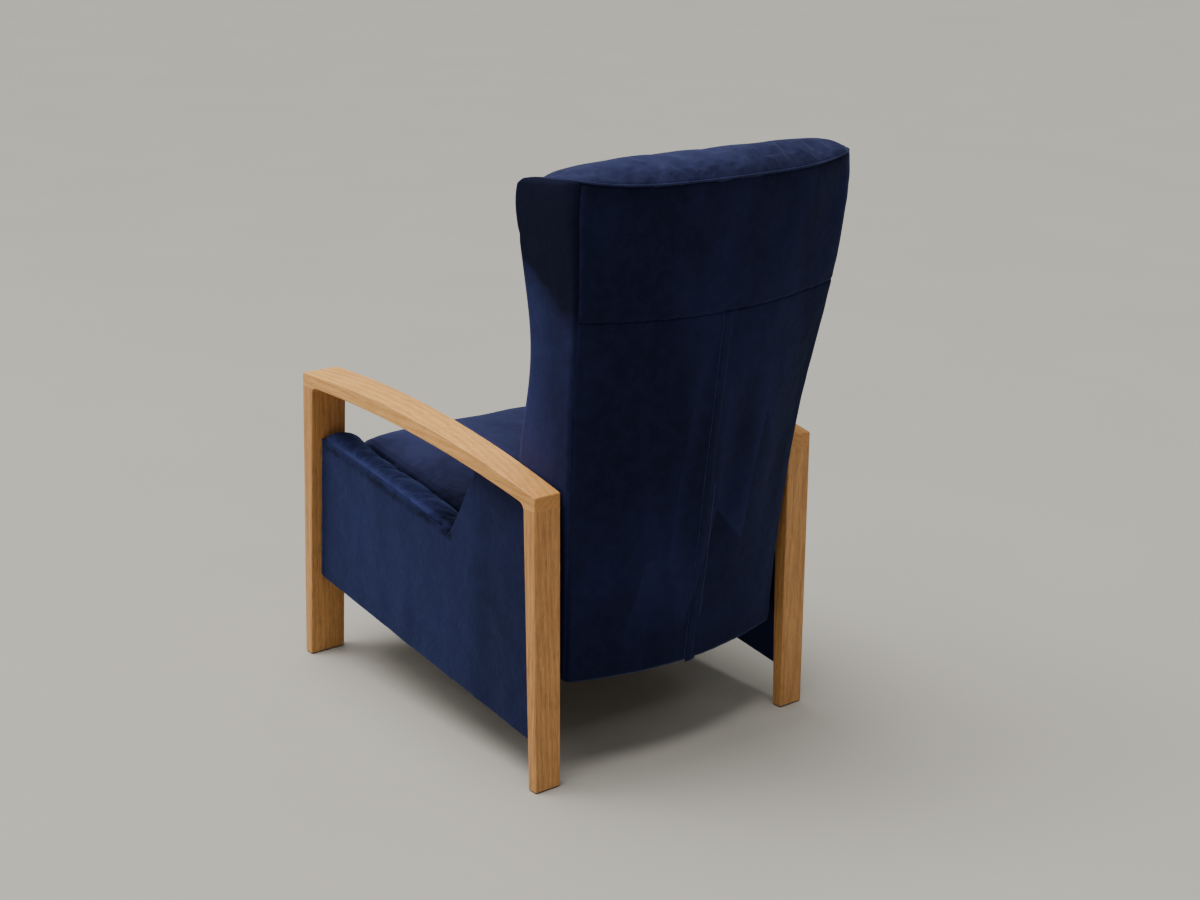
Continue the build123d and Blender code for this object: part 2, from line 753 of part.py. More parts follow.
# Frame of the back, in its own lean
def stile_outer(height):
    # Outer edge of the stile at a height
    if height < stile_bend_height:
        return stile_outer_x
    share = (height - stile_bend_height) / (stile_top_height - stile_bend_height)
    return between(stile_outer_x, stile_top_outer_x, share)


def back_depth(height):
    # Front of the back frame at a height
    return back_frame_y + (height - back_frame_height) * math.tan(math.radians(back_lean))


def back_outline(pairs):
    # Front-view face from (x, height) points, in the lean of the back
    scale = 1 / math.cos(math.radians(back_lean))
    points = [(x, (height - back_frame_height) * scale) for x, height in pairs]
    return make_face(Polyline(*points, close=True))


def back_slab(pairs, depth, thickness):
    # Front-view face given its thickness, starting at a depth behind the frame's front
    return back_place * (Pos(0, depth + thickness, 0) * extrude(Plane.XZ * back_outline(pairs), thickness))


def zone_pairs(spread, bottom, top):
    heights = (bottom, stile_bend_height, top)
    right = [(stile_outer(height) + spread, height) for height in heights]
    left = [(-x, height) for x, height in reversed(right)]
    return right + left


def core_zone(spread, front, depth):
    # Space between the wings, as deep as asked
    return back_slab(zone_pairs(spread, hem_height - overrun, crest_height + overrun), front, depth)


def bracket_foot():
    height = pivot_height - bracket_foot_drop
    return (back_depth(height) + stile_depth / 2, height)


def bracket_head():
    height = pivot_height + bracket_boss_radius
    return (back_depth(height) + stile_depth / 2, height)


def bracket_screws():
    screws = []
    foot, head = bracket_foot(), bracket_head()
    for share in bracket_screw_shares:
        screws.append(round_bar(bracket_screw_diameter, stile_outer_x - bracket_screw_depth, bracket_outer_x,
                                between(foot[0], head[0], share), between(foot[1], head[1], share)))
    return screws


def build_back_frame():
    inner = [(stile_outer(height) - stile_width, height)
             for height in (stile_top_height, stile_bend_height, back_frame_height)]
    outer = [(stile_outer(height), height) for height in (back_frame_height, stile_bend_height, stile_top_height)]
    stile = back_slab(outer + inner, 0, stile_depth)
    add_pair("back_stile", cut_all(stile, bracket_screws()))
    rail_names = ("bottom", "lumbar", "middle", "top")
    span = stile_top_height - back_frame_height - back_rail_height
    for name, share in zip(rail_names, back_rail_height_shares):
        low = back_frame_height + span * share
        high = low + back_rail_height
        pairs = [(stile_outer(low) - stile_width, low), (stile_outer(high) - stile_width, high)]
        pairs += [(-x, height) for x, height in reversed(pairs)]
        if low < stile_bend_height < high:
            bend = stile_outer(stile_bend_height) - stile_width
            pairs = pairs[:1] + [(bend, stile_bend_height)] + pairs[1:3] + [(-bend, stile_bend_height)] + pairs[3:]
        add("back_" + name + "_rail", back_slab(pairs, 0, stile_depth))
    face = strap((pivot_y, pivot_height, bracket_pivot_radius),
                 (drive_y, drive_height, drive_boss_radius),
                 (*bracket_foot(), bracket_boss_radius), (*bracket_head(), bracket_boss_radius))
    bracket = slab(face, stile_outer_x, bracket_outer_x)
    add_pair("back_bracket", cut_all(bracket, bracket_screws() + pivot_pins() + drive_pins()))
    add("back_bracket_screws", *[s for screw in bracket_screws() for s in both(screw)])
    add("pivot_pins", *[p for pin in pivot_pins() for p in both(pin)])
    add("drive_pins", *[p for pin in drive_pins() for p in both(pin)])
    spacer = round_bar(spacer_diameter, bracket_outer_x, plate_inner_x - bush_flange_thickness - running_gap,
                       pivot_y, pivot_height)
    spacer -= round_bar(pivot_diameter, 0, half_width, pivot_y, pivot_height)
    add("pivot_spacers", *both(spacer))


def pivot_pins():
    pin = round_bar(pivot_diameter, stile_outer_x, board_inner_x - running_gap, pivot_y, pivot_height)
    pin += round_bar(pivot_head_diameter, stile_outer_x - pivot_head_thickness, stile_outer_x,
                     pivot_y, pivot_height)
    return [pin]


def drive_pins():
    return [round_bar(drive_pin_diameter, stile_outer_x, stile_outer_x + drive_pin_length,
                      drive_y, drive_height)]


# Padding and covers of the back, all cut from one body
def back_section(level, width, corner, bulge, front, hollow):
    # Level outline from its shares
    height = between(hem_height - hem_spare, crest_height + crest_spare, level)
    half = between(back_bottom_half_width, back_top_half_width, width)
    corner_y = between(back_bottom_corner_y, back_top_corner_y, corner)
    front_y = between(back_front_y, back_waist_y, front)
    outline = ThreePointArc((-half, corner_y), (0, corner_y + back_bulge * bulge), (half, corner_y))
    outline += Line((half, corner_y), (half, front_y)) + Line((-half, front_y), (-half, corner_y))
    outline += ThreePointArc((half, front_y), (0, front_y + back_hollow * hollow), (-half, front_y))
    face = make_face(outline)
    return Pos(0, 0, height) * fillet(face.vertices(), back_corner_radius)


def back_body():
    sections = zip(back_level_shares, back_width_shares, back_corner_shares, back_bulge_shares,
                   back_front_shares, back_hollow_shares)
    body = loft([back_section(*section) for section in sections])
    front_end = (crest_front_y - crest_front_run, crest_front_height - crest_front_fall)
    rear_end = (crest_rear_y + crest_rear_run, crest_rear_height - crest_rear_fall)
    side = Spline(front_end, (crest_front_y, crest_front_height), (crest_y, crest_height),
                  (crest_rear_y, crest_rear_height), rear_end)
    side += Polyline(rear_end, (rear_end[0], hem_height), (-half_depth, hem_height), (-half_depth, front_end[1]),
                     front_end)
    body = body & slab(make_face(side), -half_width, half_width)
    top_half = back_top_half_width
    across = ThreePointArc((-top_half, crest_side_height), (0, crest_height), (top_half, crest_side_height))
    across += Polyline((top_half, crest_side_height), (top_half, hem_height), (-top_half, hem_height),
                       (-top_half, crest_side_height))
    face = make_face(across)
    face = fillet([v for v in face.vertices() if v.Y > rear_seam_height], crest_side_radius)
    body = body & (Pos(0, half_depth + 2 * overrun, 0) * extrude(Plane.XZ * face, frame_depth))
    under = block((-half_width, half_width), (0, lower_front_y), (0, lumbar_bottom))
    return body - under


def build_back():
    build_back_frame()
    body = back_body()
    deep = frame_depth
    welt_slope = (welt_rear_height - welt_front_height) / (welt_rear_y - welt_front_y)
    ahead = frame_depth / 2
    behind = half_depth + 2 * overrun
    points = [(-ahead, welt_front_height + (-ahead - welt_front_y) * welt_slope),
              (behind, welt_front_height + (behind - welt_front_y) * welt_slope),
              (behind, crest_height + overrun), (-ahead, crest_height + overrun)]
    above_welt = slab(make_face(Polyline(*points, close=True)), -half_width, half_width)
    add("back_crest", body & above_welt)
    body = body - above_welt
    core = core_zone(0, -deep, 2 * deep)
    outside = body - core_zone(bracket_outer_x - stile_outer_x + wing_gap, -deep, 2 * deep)
    bore = round_bar(spacer_diameter + spacer_bore_gap, -half_width, half_width, pivot_y, pivot_height)
    wings = outside - bore
    add("left_wing", wings & block((0, half_width), (-half_depth, deep), (0, crest_height)))
    add("right_wing", wings & block((-half_width, 0), (-half_depth, deep), (0, crest_height)))
    front = body & core_zone(0, -deep, deep)
    heads = [round_bar(pivot_head_diameter + spacer_bore_gap, stile_outer_x - pivot_head_thickness - wing_gap,
                       stile_outer_x, pivot_y, pivot_height)]
    front = cut_all(front, [h for head in heads for h in both(head)])
    everywhere = ((-half_width, half_width), (-half_depth, deep))
    lumbar_zone = block(*everywhere, (lumbar_bottom, head_seam_height))
    add("back_cushion", front & lumbar_zone)
    add("head_cushion", front & block(*everywhere, (head_seam_height, crest_height)))
    lining_height = lumbar_bottom - wing_gap
    pairs = [(stile_outer_x, back_frame_height), (stile_outer_x, lining_height),
             (-stile_outer_x, lining_height), (-stile_outer_x, back_frame_height)]
    add("lower_front_lining", back_slab(pairs, -lining_thickness, lining_thickness))
    rear = body & core_zone(0, stile_depth, deep)
    placket = build_placket(rear)
    add("zip_placket", placket)
    rear = rear - placket
    below = block(*everywhere, (0, rear_seam_height))
    lower = rear & below
    add("left_rear_cover", lower & block((0, half_width), (0, deep), (0, crest_height)))
    add("right_rear_cover", lower & block((-half_width, 0), (0, deep), (0, crest_height)))
    add("upper_rear_cover", rear - below)


def build_placket(rear):
    # Strip along the centre line: the outermost layer of the rear face
    inner = rear.translate((0, -placket_thickness, 0))
    strip = block((-placket_width, 0), (0, frame_depth), (hem_height, rear_seam_height))
    return (rear - inner) & strip


def build_all():
    build_oak()
    build_panels()
    build_rolls()
    build_plates()
    build_seat_frame()
    build_cushion()
    build_flap()
    build_back()


if __name__ == "__main__":
    os.makedirs("parts", exist_ok=True)
    build_all()
    boxes = [part.bounding_box() for part in parts.values()]
    rear = max(box.max.Y for box in boxes)
    front = min(box.min.Y for box in boxes)
    middle = (front + rear) / 2
    shift = Pos(0, -middle, 0)
    print("depth", round(rear - front, 3), "height", round(max(box.max.Z for box in boxes), 3))
    print("moved in y by", round(-middle, 3), "mm; seat travel", round(seat_travel, 3), "mm")
    print("pivot", pivot_y, pivot_height, "flap hinge", [round(v, 3) for v in flap_hinge()])
    for name, part in parts.items():
        moved = [shift * solid for solid in part.solids()]
        export_step(moved[0] if len(moved) == 1 else Compound(moved), "parts/" + name + ".step")
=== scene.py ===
import json
import math
import bmesh
import bpy
import numpy as np
from mathutils import Matrix, Vector


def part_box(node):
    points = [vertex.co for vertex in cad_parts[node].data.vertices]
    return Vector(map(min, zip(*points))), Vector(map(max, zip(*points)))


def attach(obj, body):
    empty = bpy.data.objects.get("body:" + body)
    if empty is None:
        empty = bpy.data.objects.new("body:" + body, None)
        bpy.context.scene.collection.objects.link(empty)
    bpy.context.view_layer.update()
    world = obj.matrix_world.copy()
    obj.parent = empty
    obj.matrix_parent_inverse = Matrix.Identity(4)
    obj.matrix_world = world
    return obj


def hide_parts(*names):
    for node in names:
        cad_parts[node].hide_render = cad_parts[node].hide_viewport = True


# Reclining armchair in dark blue velvet with curved oak side frames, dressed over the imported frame.
# +X is the sitter's left, -Y the front, +Z up, metres. Every new piece is a surface worked out with numpy.

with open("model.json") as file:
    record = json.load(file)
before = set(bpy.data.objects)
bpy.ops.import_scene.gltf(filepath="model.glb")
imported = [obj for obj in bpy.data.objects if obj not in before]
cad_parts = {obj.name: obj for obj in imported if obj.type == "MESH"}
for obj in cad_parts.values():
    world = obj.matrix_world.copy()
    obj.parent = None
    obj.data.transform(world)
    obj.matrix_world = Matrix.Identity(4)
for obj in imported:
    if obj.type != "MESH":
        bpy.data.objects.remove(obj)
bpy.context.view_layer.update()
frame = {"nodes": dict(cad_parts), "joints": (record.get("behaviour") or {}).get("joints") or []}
print("frame loaded:", len(frame["nodes"]), "nodes")

joints = {joint["name"]: joint for joint in frame["joints"]}
pivotY = joints["back_recline"]["pos_m"][1]


# Numbers and curves that several pieces share
def boxOf(node):
    low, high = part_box(node)
    return np.array(low), np.array(high)


def smoothStep(low, high, value):
    # 3t^2 - 2t^3 of the share of the way from low to high
    t = np.clip((value - low) / (high - low), 0, 1)
    return t * t * (3 - 2 * t)


def mix(a, b, share):
    return a + (b - a) * share


def curve(u, start, pull, end):
    # quadratic curve from start to end, drawn towards pull
    return (1 - u) ** 2 * start + 2 * u * (1 - u) * pull + u ** 2 * end


def splineAt(places, values, at):
    # natural cubic spline: solve the second derivatives, then each stretch is its own cubic
    x, y = np.array(places, float), np.array(values, float)
    h = np.diff(x)
    system = np.eye(len(x))
    right = np.zeros(len(x))
    inner = np.arange(1, len(x) - 1)
    system[inner, inner - 1] = h[:-1]
    system[inner, inner] = 2 * (h[:-1] + h[1:])
    system[inner, inner + 1] = h[1:]
    right[inner] = 6 * (np.diff(y)[1:] / h[1:] - np.diff(y)[:-1] / h[:-1])
    bend = np.linalg.solve(system, right)
    at = np.asarray(at, float)
    k = np.clip(np.searchsorted(x, at) - 1, 0, len(h) - 1)
    a, b = x[k + 1] - at, at - x[k]
    return ((bend[k] * a ** 3 + bend[k + 1] * b ** 3) / (6 * h[k])
            + (y[k] / h[k] - bend[k] * h[k] / 6) * a + (y[k + 1] / h[k] - bend[k + 1] * h[k] / 6) * b)


def grid(rows, columns):
    # two parameters from 0 to 1 as whole arrays
    return np.meshgrid(np.linspace(0, 1, rows), np.linspace(0, 1, columns), indexing="ij")


def stack(x, y, z):
    return np.stack(np.broadcast_arrays(x, y, z), axis=-1).astype(float)


def normalsOf(points, closedColumns=False):
    # cross product of the steps along the grid's two directions
    if closedColumns:
        wide = np.concatenate([points[:, -1:], points, points[:, :1]], axis=1)
        across = (wide[:, 2:] - wide[:, :-2]) / 2
    else:
        across = np.gradient(points, axis=1)
    normal = np.cross(np.gradient(points, axis=0), across)
    return normal / np.maximum(np.linalg.norm(normal, axis=-1, keepdims=True), 1e-9)


def edgeDistances(points):
    # length along the surface from each point to the grid's four borders
    along = np.linalg.norm(np.diff(points, axis=0), axis=-1)
    along = np.concatenate([np.zeros((1, points.shape[1])), np.cumsum(along, axis=0)])
    across = np.linalg.norm(np.diff(points, axis=1), axis=-1)
    across = np.concatenate([np.zeros((points.shape[0], 1)), np.cumsum(across, axis=1)], axis=1)
    return along, along[-1:] - along, across, across[:, -1:] - across


def waves(points, size, seed, count=9):
    # soft noise: a sum of sines whose directions, lengths and phases are drawn from one seed
    draw = np.random.default_rng(seed)
    total = np.zeros(points.shape[:-1])
    for _ in range(count):
        direction = draw.normal(size=3)
        direction = direction / np.linalg.norm(direction)
        length = size * draw.uniform(0.6, 1.7)
        total = total + np.sin(points @ direction * (2 * math.pi / length) + draw.uniform(0, 2 * math.pi))
    return total / math.sqrt(count)


def gridFaces(rows, columns, first=0, closedColumns=False, flip=False):
    index = first + np.arange(rows * columns).reshape(rows, columns)
    if closedColumns:
        index = np.concatenate([index, index[:, :1]], axis=1)
    quads = np.stack([index[:-1, :-1], index[1:, :-1], index[1:, 1:], index[:-1, 1:]], axis=-1)
    quads = quads.reshape(-1, 4)
    return quads[:, ::-1] if flip else quads


def makeMesh(name, points, faces, material):
    mesh = bpy.data.meshes.new(name)
    mesh.from_pydata(points.reshape(-1, 3).tolist(), [], [list(face) for face in faces])
    mesh.polygons.foreach_set("use_smooth", np.ones(len(mesh.polygons), bool))
    mesh.materials.append(material)
    mesh.update()
    piece = bpy.data.objects.new(name, mesh)
    bpy.context.scene.collection.objects.link(piece)
    return piece


def rimFaces(rows, columns, first=0):
    # quads that join the border of one grid to the border of the grid that follows it
    count = rows * columns
    index = first + np.arange(count).reshape(rows, columns)
    border = np.concatenate([index[0, :-1], index[:-1, -1], index[-1, :0:-1], index[:0:-1, 0]])
    ahead = np.roll(border, -1)
    return np.stack([border, ahead, ahead + count, border + count], axis=-1)


def closedSheet(name, outer, inner, material):
    # two grids back to back, joined round their borders
    rows, columns = outer.shape[:2]
    points = np.concatenate([outer.reshape(-1, 3), inner.reshape(-1, 3)])
    faces = [gridFaces(rows, columns), gridFaces(rows, columns, first=rows * columns, flip=True),
             rimFaces(rows, columns)]
    return makeMesh(name, points, np.concatenate(faces), material)


def closedTube(name, loops, material):
    # rings one after another, closed round each ring and capped at both ends with a fan to its middle
    rings, around = loops.shape[:2]
    points = np.concatenate([loops.reshape(-1, 3), loops[:1].mean(axis=1), loops[-1:].mean(axis=1)])
    faces = [face.tolist() for face in gridFaces(rings, around, closedColumns=True)]
    first, last = np.arange(around), (rings - 1) * around + np.arange(around)
    for ring, middle, turned in ((first, rings * around, False), (last, rings * around + 1, True)):
        fan = np.stack([ring, np.roll(ring, -1), np.full(around, middle)], axis=-1)
        faces += (fan[:, ::-1] if turned else fan).tolist()
    return makeMesh(name, points, faces, material)


def facingOut(piece):
    # recalculate the faces so that they point outwards
    mesh = bmesh.new()
    mesh.from_mesh(piece.data)
    bmesh.ops.recalc_face_normals(mesh, faces=mesh.faces)
    mesh.to_mesh(piece.data)
    mesh.free()
    return piece


def cordAlong(name, path, radius, material, around=10):
    # tube round a path: each ring stands square to the path's own direction
    ahead = np.gradient(path, axis=0)
    ahead /= np.linalg.norm(ahead, axis=1, keepdims=True)
    side = np.cross(ahead, (0, 0, 1))
    side /= np.maximum(np.linalg.norm(side, axis=1, keepdims=True), 1e-9)
    up = np.cross(side, ahead)
    turn = np.linspace(0, 2 * math.pi, around, endpoint=False)
    radius = np.broadcast_to(radius, len(path))[:, None, None]
    rings = (path[:, None] + radius * (np.cos(turn)[None, :, None] * side[:, None]
                                       + np.sin(turn)[None, :, None] * up[:, None]))
    return facingOut(closedTube(name, rings, material))


def pushedOut(rings, amount):
    # closed rings moved along their outward normals
    normal = normalsOf(rings, closedColumns=True)
    outward = np.sign(((rings - rings.mean(axis=1, keepdims=True)) * normal).sum(axis=-1).mean())
    return rings + outward * normal * amount[..., None]


def drawnIn(loops, share, distance, reach):
    # sections shrink towards their middles near the ends, by share e^-(d/reach)^2
    centre = loops.mean(axis=1, keepdims=True)
    return centre + (loops - centre) * (1 - share * np.exp(-(distance / reach) ** 2))[:, None, None]


def asTrim(piece, body):
    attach(piece, body)


def asPad(piece, body, nodes):
    # a velvet pad that moves with its body and stands for the plain solids
    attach(piece, body)
    if nodes:
        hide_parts(*nodes)


# Cloth under pressure, held at its seams
clothWork = {
    "voxel": 0.006, "frames": 20, "pressure": 4.0, "extra": 0.05, "mass": 0.15, "stiffness": 12.0,
    "bending": 0.5, "pinReach": 0.007, "leastCap": 0.0002, "seamDepth": 0.0022, "seamWidth": 0.0045,
    "blockSize": 2000,
}


def meshVectors(mesh, kind):
    # places ("co") or normals ("normal") of all vertices
    values = np.zeros(len(mesh.vertices) * 3)
    mesh.vertices.foreach_get(kind, values)
    return values.reshape(-1, 3)


def fromLine(points, line):
    # distance from each point to the nearest point of a closely spaced line
    blocks = np.array_split(points, max(1, len(points) // clothWork["blockSize"]))
    return np.concatenate([
        np.sqrt(((block[:, None] - line[None]) ** 2).sum(-1).min(axis=1)) for block in blocks])


def finished(piece):
    # the piece's own mesh becomes what its modifiers make of it
    mesh = bpy.data.meshes.new_from_object(piece.evaluated_get(bpy.context.evaluated_depsgraph_get()))
    material = piece.data.materials[0]
    piece.modifiers.clear()
    piece.data = mesh
    mesh.materials.clear()
    mesh.materials.append(material)
    mesh.polygons.foreach_set("use_smooth", np.ones(len(mesh.polygons), bool))
    mesh.update()


def puffUp(piece, seams, cap, depth=clothWork["seamDepth"]):
    # cap(points, normals) gives the farthest that each point may move; the seams are drawn in afterwards
    c = clothWork
    remesh = piece.modifiers.new("remesh", "REMESH")
    remesh.mode, remesh.voxel_size = "VOXEL", c["voxel"]
    finished(piece)
    start = meshVectors(piece.data, "co")
    allowed = cap(start, meshVectors(piece.data, "normal"))
    held = np.clip(2 - fromLine(start, seams) / c["pinReach"], 0, 1)
    group = piece.vertex_groups.new(name="seams")
    for k in np.nonzero(held > 0)[0]:
        group.add([int(k)], float(held[k]), "REPLACE")
    cloth = piece.modifiers.new("cloth", "CLOTH")
    cloth.settings.use_pressure = True
    cloth.settings.uniform_pressure_force = c["pressure"]
    cloth.settings.shrink_min = -c["extra"]
    cloth.settings.mass = c["mass"]
    cloth.settings.tension_stiffness = cloth.settings.compression_stiffness = c["stiffness"]
    cloth.settings.bending_stiffness = c["bending"]
    cloth.settings.vertex_group_mass = "seams"
    cloth.settings.effector_weights.gravity = 0
    cloth.collision_settings.use_collision = False
    cloth.point_cache.frame_start, cloth.point_cache.frame_end = 1, c["frames"]
    for step in range(1, c["frames"] + 1):
        bpy.context.scene.frame_set(step)
    finished(piece)
    move = meshVectors(piece.data, "co") - start
    length = np.linalg.norm(move, axis=1)
    # an even limit: long moves end at the cap, short ones stay as they are
    share = allowed * np.tanh(length / np.maximum(allowed, 1e-6)) / np.maximum(length, 1e-9)
    piece.data.vertices.foreach_set("co", (start + move * share[:, None]).ravel())
    piece.vertex_groups.clear()
    bpy.context.scene.frame_set(1)
    smooth = piece.modifiers.new("subdivision", "SUBSURF")
    smooth.levels = smooth.render_levels = 1
    finished(piece)
    points, normals = meshVectors(piece.data, "co"), meshVectors(piece.data, "normal")
    dip = depth * np.exp(-(fromLine(points, seams) / c["seamWidth"]) ** 2)
    piece.data.vertices.foreach_set("co", (points - normals * dip[:, None]).ravel())
    piece.data.update()
    print("puffed up:", piece.name, len(piece.data.polygons), "faces")


def upwardCap(most):
    # cloth that may rise where it faces upwards
    return lambda at, normal: most * np.clip(normal[:, 2], 0, 1) + clothWork["leastCap"]


# Shape of the back, taken level by level; depths are counted from the recline pivot
backShape = {
    "levels": (0.178, 0.300, 0.420, 0.550, 0.650, 0.740, 0.830, 0.920, 1.010, 1.060, 1.100, 1.160),
    "halfWidths": (0.254, 0.257, 0.2625, 0.270, 0.279, 0.2895, 0.298, 0.3065, 0.316, 0.3205, 0.3195, 0.308),
    "cornerBack": (0.085, 0.089, 0.096, 0.107, 0.118, 0.131, 0.147, 0.161, 0.1695, 0.1725, 0.173, 0.172),
    "rearBulges": (0.036, 0.044, 0.050, 0.050, 0.050, 0.046, 0.039, 0.035, 0.035, 0.038, 0.040, 0.042),
    "frontBack": (-0.049, -0.049, -0.049, -0.047, -0.025, 0.002, 0.0135, 0.0075, -0.001, -0.003, 0.006,
                  0.034),
    "frontHollows": (-0.008, -0.010, -0.012, -0.012, -0.006, 0.002, 0.010, 0.016, 0.020, 0.021, 0.022, 0.022),
    "rearCorners": (0.013, 0.013, 0.013, 0.013, 0.013, 0.013, 0.015, 0.019, 0.028, 0.036, 0.042, 0.046),
    "frontCorner": 0.015,
    "hem": 0.181, "hemRise": 0.008, "hemHalf": 0.254, "seam": 0.861, "seamRise": 0.014, "seamHalf": 0.298,
    "weltFront": (0.015, 1.088), "weltRear": (0.187, 1.106), "weltDip": 0.009, "weltRise": 0.021,
    "weltHalf": 0.3205, "coreHalf": 0.2345, "coreBend": 0.432, "coreTop": 1.070, "coreTopHalf": 0.2885,
    "sharpTop": 0.0025, "softTop": 0.012, "cornerTop": 0.0075, "cornerDip": 0.006, "slackReach": 0.045,
    "softFrom": (1.4, 2.3), "softTo": (4.3, 4.0), "cornerFrom": (2.6, 3.1), "dipFrom": (2.75, 3.35),
}


def atLevel(key, z):
    return splineAt(backShape["levels"], backShape[key], z)


def backSurface(t, z):
    # half a level round from the rear centre line: t 0-1 is the rear arc, y = corner + bulge(1 - (x/half)^2),
    # 1-2 the rear corner, 2-3 the side, 3-4 the front corner and 4-5 the front arc to the front centre line
    t, z = np.broadcast_arrays(np.asarray(t, float), np.asarray(z, float))
    half, corner, bulge, front, hollow, rearRound = [
        atLevel(key, z)
        for key in ("halfWidths", "cornerBack", "rearBulges", "frontBack", "frontHollows", "rearCorners")]
    corner, front, frontRound = corner + pivotY, front + pivotY, backShape["frontCorner"]
    rearX, frontX = half - rearRound, half - frontRound
    rearArc = lambda x: corner + bulge * (1 - (x / half) ** 2)
    frontArc = lambda x: front + hollow * (1 - (x / half) ** 2)
    tangentY = rearArc(rearX) - 2 * bulge * rearX / half ** 2 * rearRound
    part = np.clip(np.floor(t), 0, 4)
    u = t - part
    parts = [part == k for k in range(5)]
    x = np.select(parts, [u * rearX, curve(u, rearX, half, half), half, curve(u, half, half, frontX),
                          (1 - u) * frontX])
    y = np.select(parts, [rearArc(u * rearX), curve(u, rearArc(rearX), tangentY, corner - rearRound),
                          mix(corner - rearRound, front + frontRound, u),
                          curve(u, front + frontRound, front, frontArc(frontX)), frontArc((1 - u) * frontX)])
    return stack(x, y, z)


def weltLift(x):
    # the welt hangs a little in the middle and rises to the corners with the fourth power of x
    b = backShape
    return b["weltRise"] * np.clip(np.abs(x) / b["weltHalf"], 0, 1) ** 4 - b["weltDip"]


def weltHeight(points):
    # straight slope of the welt in side view, and its lift across the width
    (frontY, frontZ), (rearY, rearZ) = backShape["weltFront"], backShape["weltRear"]
    slope = (rearZ - frontZ) / (rearY - frontY)
    return frontZ + (points[..., 1] - pivotY - frontY) * slope + weltLift(points[..., 0])


def weltPoint(t):
    # where a line of the back meets the slope of the welt
    z = np.full(np.shape(t), backShape["weltRear"][1])
    for _ in range(4):
        z = weltHeight(backSurface(t, z))
    return backSurface(t, z)


def cornerDip(t):
    # the top edge sinks a little at the front corners
    return backShape["cornerDip"] * smoothStep(*backShape["dipFrom"], t)


def squareTo(ahead):
    # level directions square to a run of steps
    away = stack(-ahead[..., 1], ahead[..., 0], 0)
    return away / np.linalg.norm(away, axis=-1, keepdims=True)


def outwardAt(t, z, step=0.02):
    return squareTo(backSurface(t + step, z) - backSurface(t - step, z))


def topRound(t):
    # radius of the covers' top edge: sharp along the rear, soft round the sides, less so at the front corners
    b = backShape
    soft = smoothStep(*b["softFrom"], t) * smoothStep(*b["softTo"], t)
    return mix(b["sharpTop"], mix(b["softTop"], b["cornerTop"], smoothStep(*b["cornerFrom"], t)), soft)


def crestEdge(t, share=1.0, drop=0.0):
    # the welt's line, set in by a share of the rounded top edge and let down where that edge is soft
    line = weltPoint(t)
    radius = topRound(t)
    line = line - outwardAt(t, line[..., 2]) * (radius * share)[..., None]
    line[..., 2] -= drop * smoothStep(backShape["sharpTop"], backShape["softTop"], radius) + cornerDip(t)
    return line


def coreHalf(z):
    # half width between the wings: straight, then wider towards the top
    b = backShape
    share = np.clip((z - b["coreBend"]) / (b["coreTop"] - b["coreBend"]), 0, 1.1)
    return mix(b["coreHalf"], b["coreTopHalf"], share)


def frontAt(x, z):
    # depth of the front arc at a place across
    half, front, hollow = [atLevel(key, z) for key in ("halfWidths", "frontBack", "frontHollows")]
    return pivotY + front + hollow * (1 - (x / half) ** 2)


def mirrored(points):
    # the same grid on the other side, turned so that its faces still point outwards
    return (points * np.array((-1, 1, 1)))[:, ::-1]


seamFolds = {"size": 0.035, "reach": 3}


def seamed(points, depth, width, borders=(1, 1, 1, 1), pucker=0.0, seed=1):
    # the surface dips to its seams, depth e^-(d/width)^2 below, and the seams pull short folds square to them
    normal = normalsOf(points)
    distances = edgeDistances(points)
    lowered = np.zeros(points.shape[:-1])
    for border, distance in zip(borders, distances):
        dip = border * depth * np.exp(-(distance / width) ** 2)
        near = np.exp(-(distance / (seamFolds["reach"] * width)) ** 2)
        lowered = np.maximum(lowered, dip) + border * pucker * near * waves(points, seamFolds["size"], seed)
        seed += 1
    return points - normal * lowered[..., None]


def pad(name, outer, thickness, material, body, nodes):
    # closed sheet of foam and cloth: the outer grid and its copy set in along the normals
    asPad(closedSheet(name, outer, outer - normalsOf(outer) * thickness, material), body, nodes)


def padPair(name, node, points, thickness, material, body):
    pad("left" + name, points, thickness, material, body, ["left_" + node])
    pad("right" + name, mirrored(points), thickness, material, body, ["right_" + node])


# Covers of the back
def seamAt(x):
    # the level seam across the rear, lower at the centre line
    return backShape["seam"] + backShape["seamRise"] * (x / backShape["seamHalf"]) ** 2


def seamHeight(t):
    return seamAt(backSurface(t, backShape["seam"])[..., 0])


def hemHeight(t):
    x = backSurface(t, backShape["levels"][0])[..., 0]
    return backShape["hem"] + backShape["hemRise"] * (x / backShape["hemHalf"]) ** 2


rearCover = {
    "rows": 150, "columns": 90, "reach": 1.5, "thickness": 0.012, "seamDepth": 0.0018, "seamWidth": 0.0045,
    "pucker": 0.0004, "slack": 0.0017, "slackSize": 0.13, "slackSeed": 4, "leanHeight": 0.35, "leanIn": 0.22,
    "fill": 0.4,
}


def rearPanel(low, high):
    # one half of the rear between two heights: rows go up, columns go from the centre line to the corner
    v, u = grid(rearCover["rows"], rearCover["columns"])
    t = u * rearCover["reach"]
    return backSurface(t, mix(low(t), high(t), v))


def rearSlack(points):
    # long shallow hollows that lean to the centre line, as in cloth pulled to a hem, none at the seams
    r, b = rearCover, backShape
    x, z = np.abs(points[..., 0]), points[..., 2]
    lean = points.copy()
    lean[..., 2] *= r["leanHeight"]
    lean[..., 0] += r["leanIn"] * z
    free = 1.0
    for distance in (atLevel("halfWidths", z) - x, x, z - b["hem"], np.abs(z - seamAt(x)),
                     weltHeight(points) - z):
        free = free * smoothStep(0, b["slackReach"], distance)
    amount = r["slack"] * free * waves(lean, r["slackSize"], r["slackSeed"])
    return points - normalsOf(points) * amount[..., None]


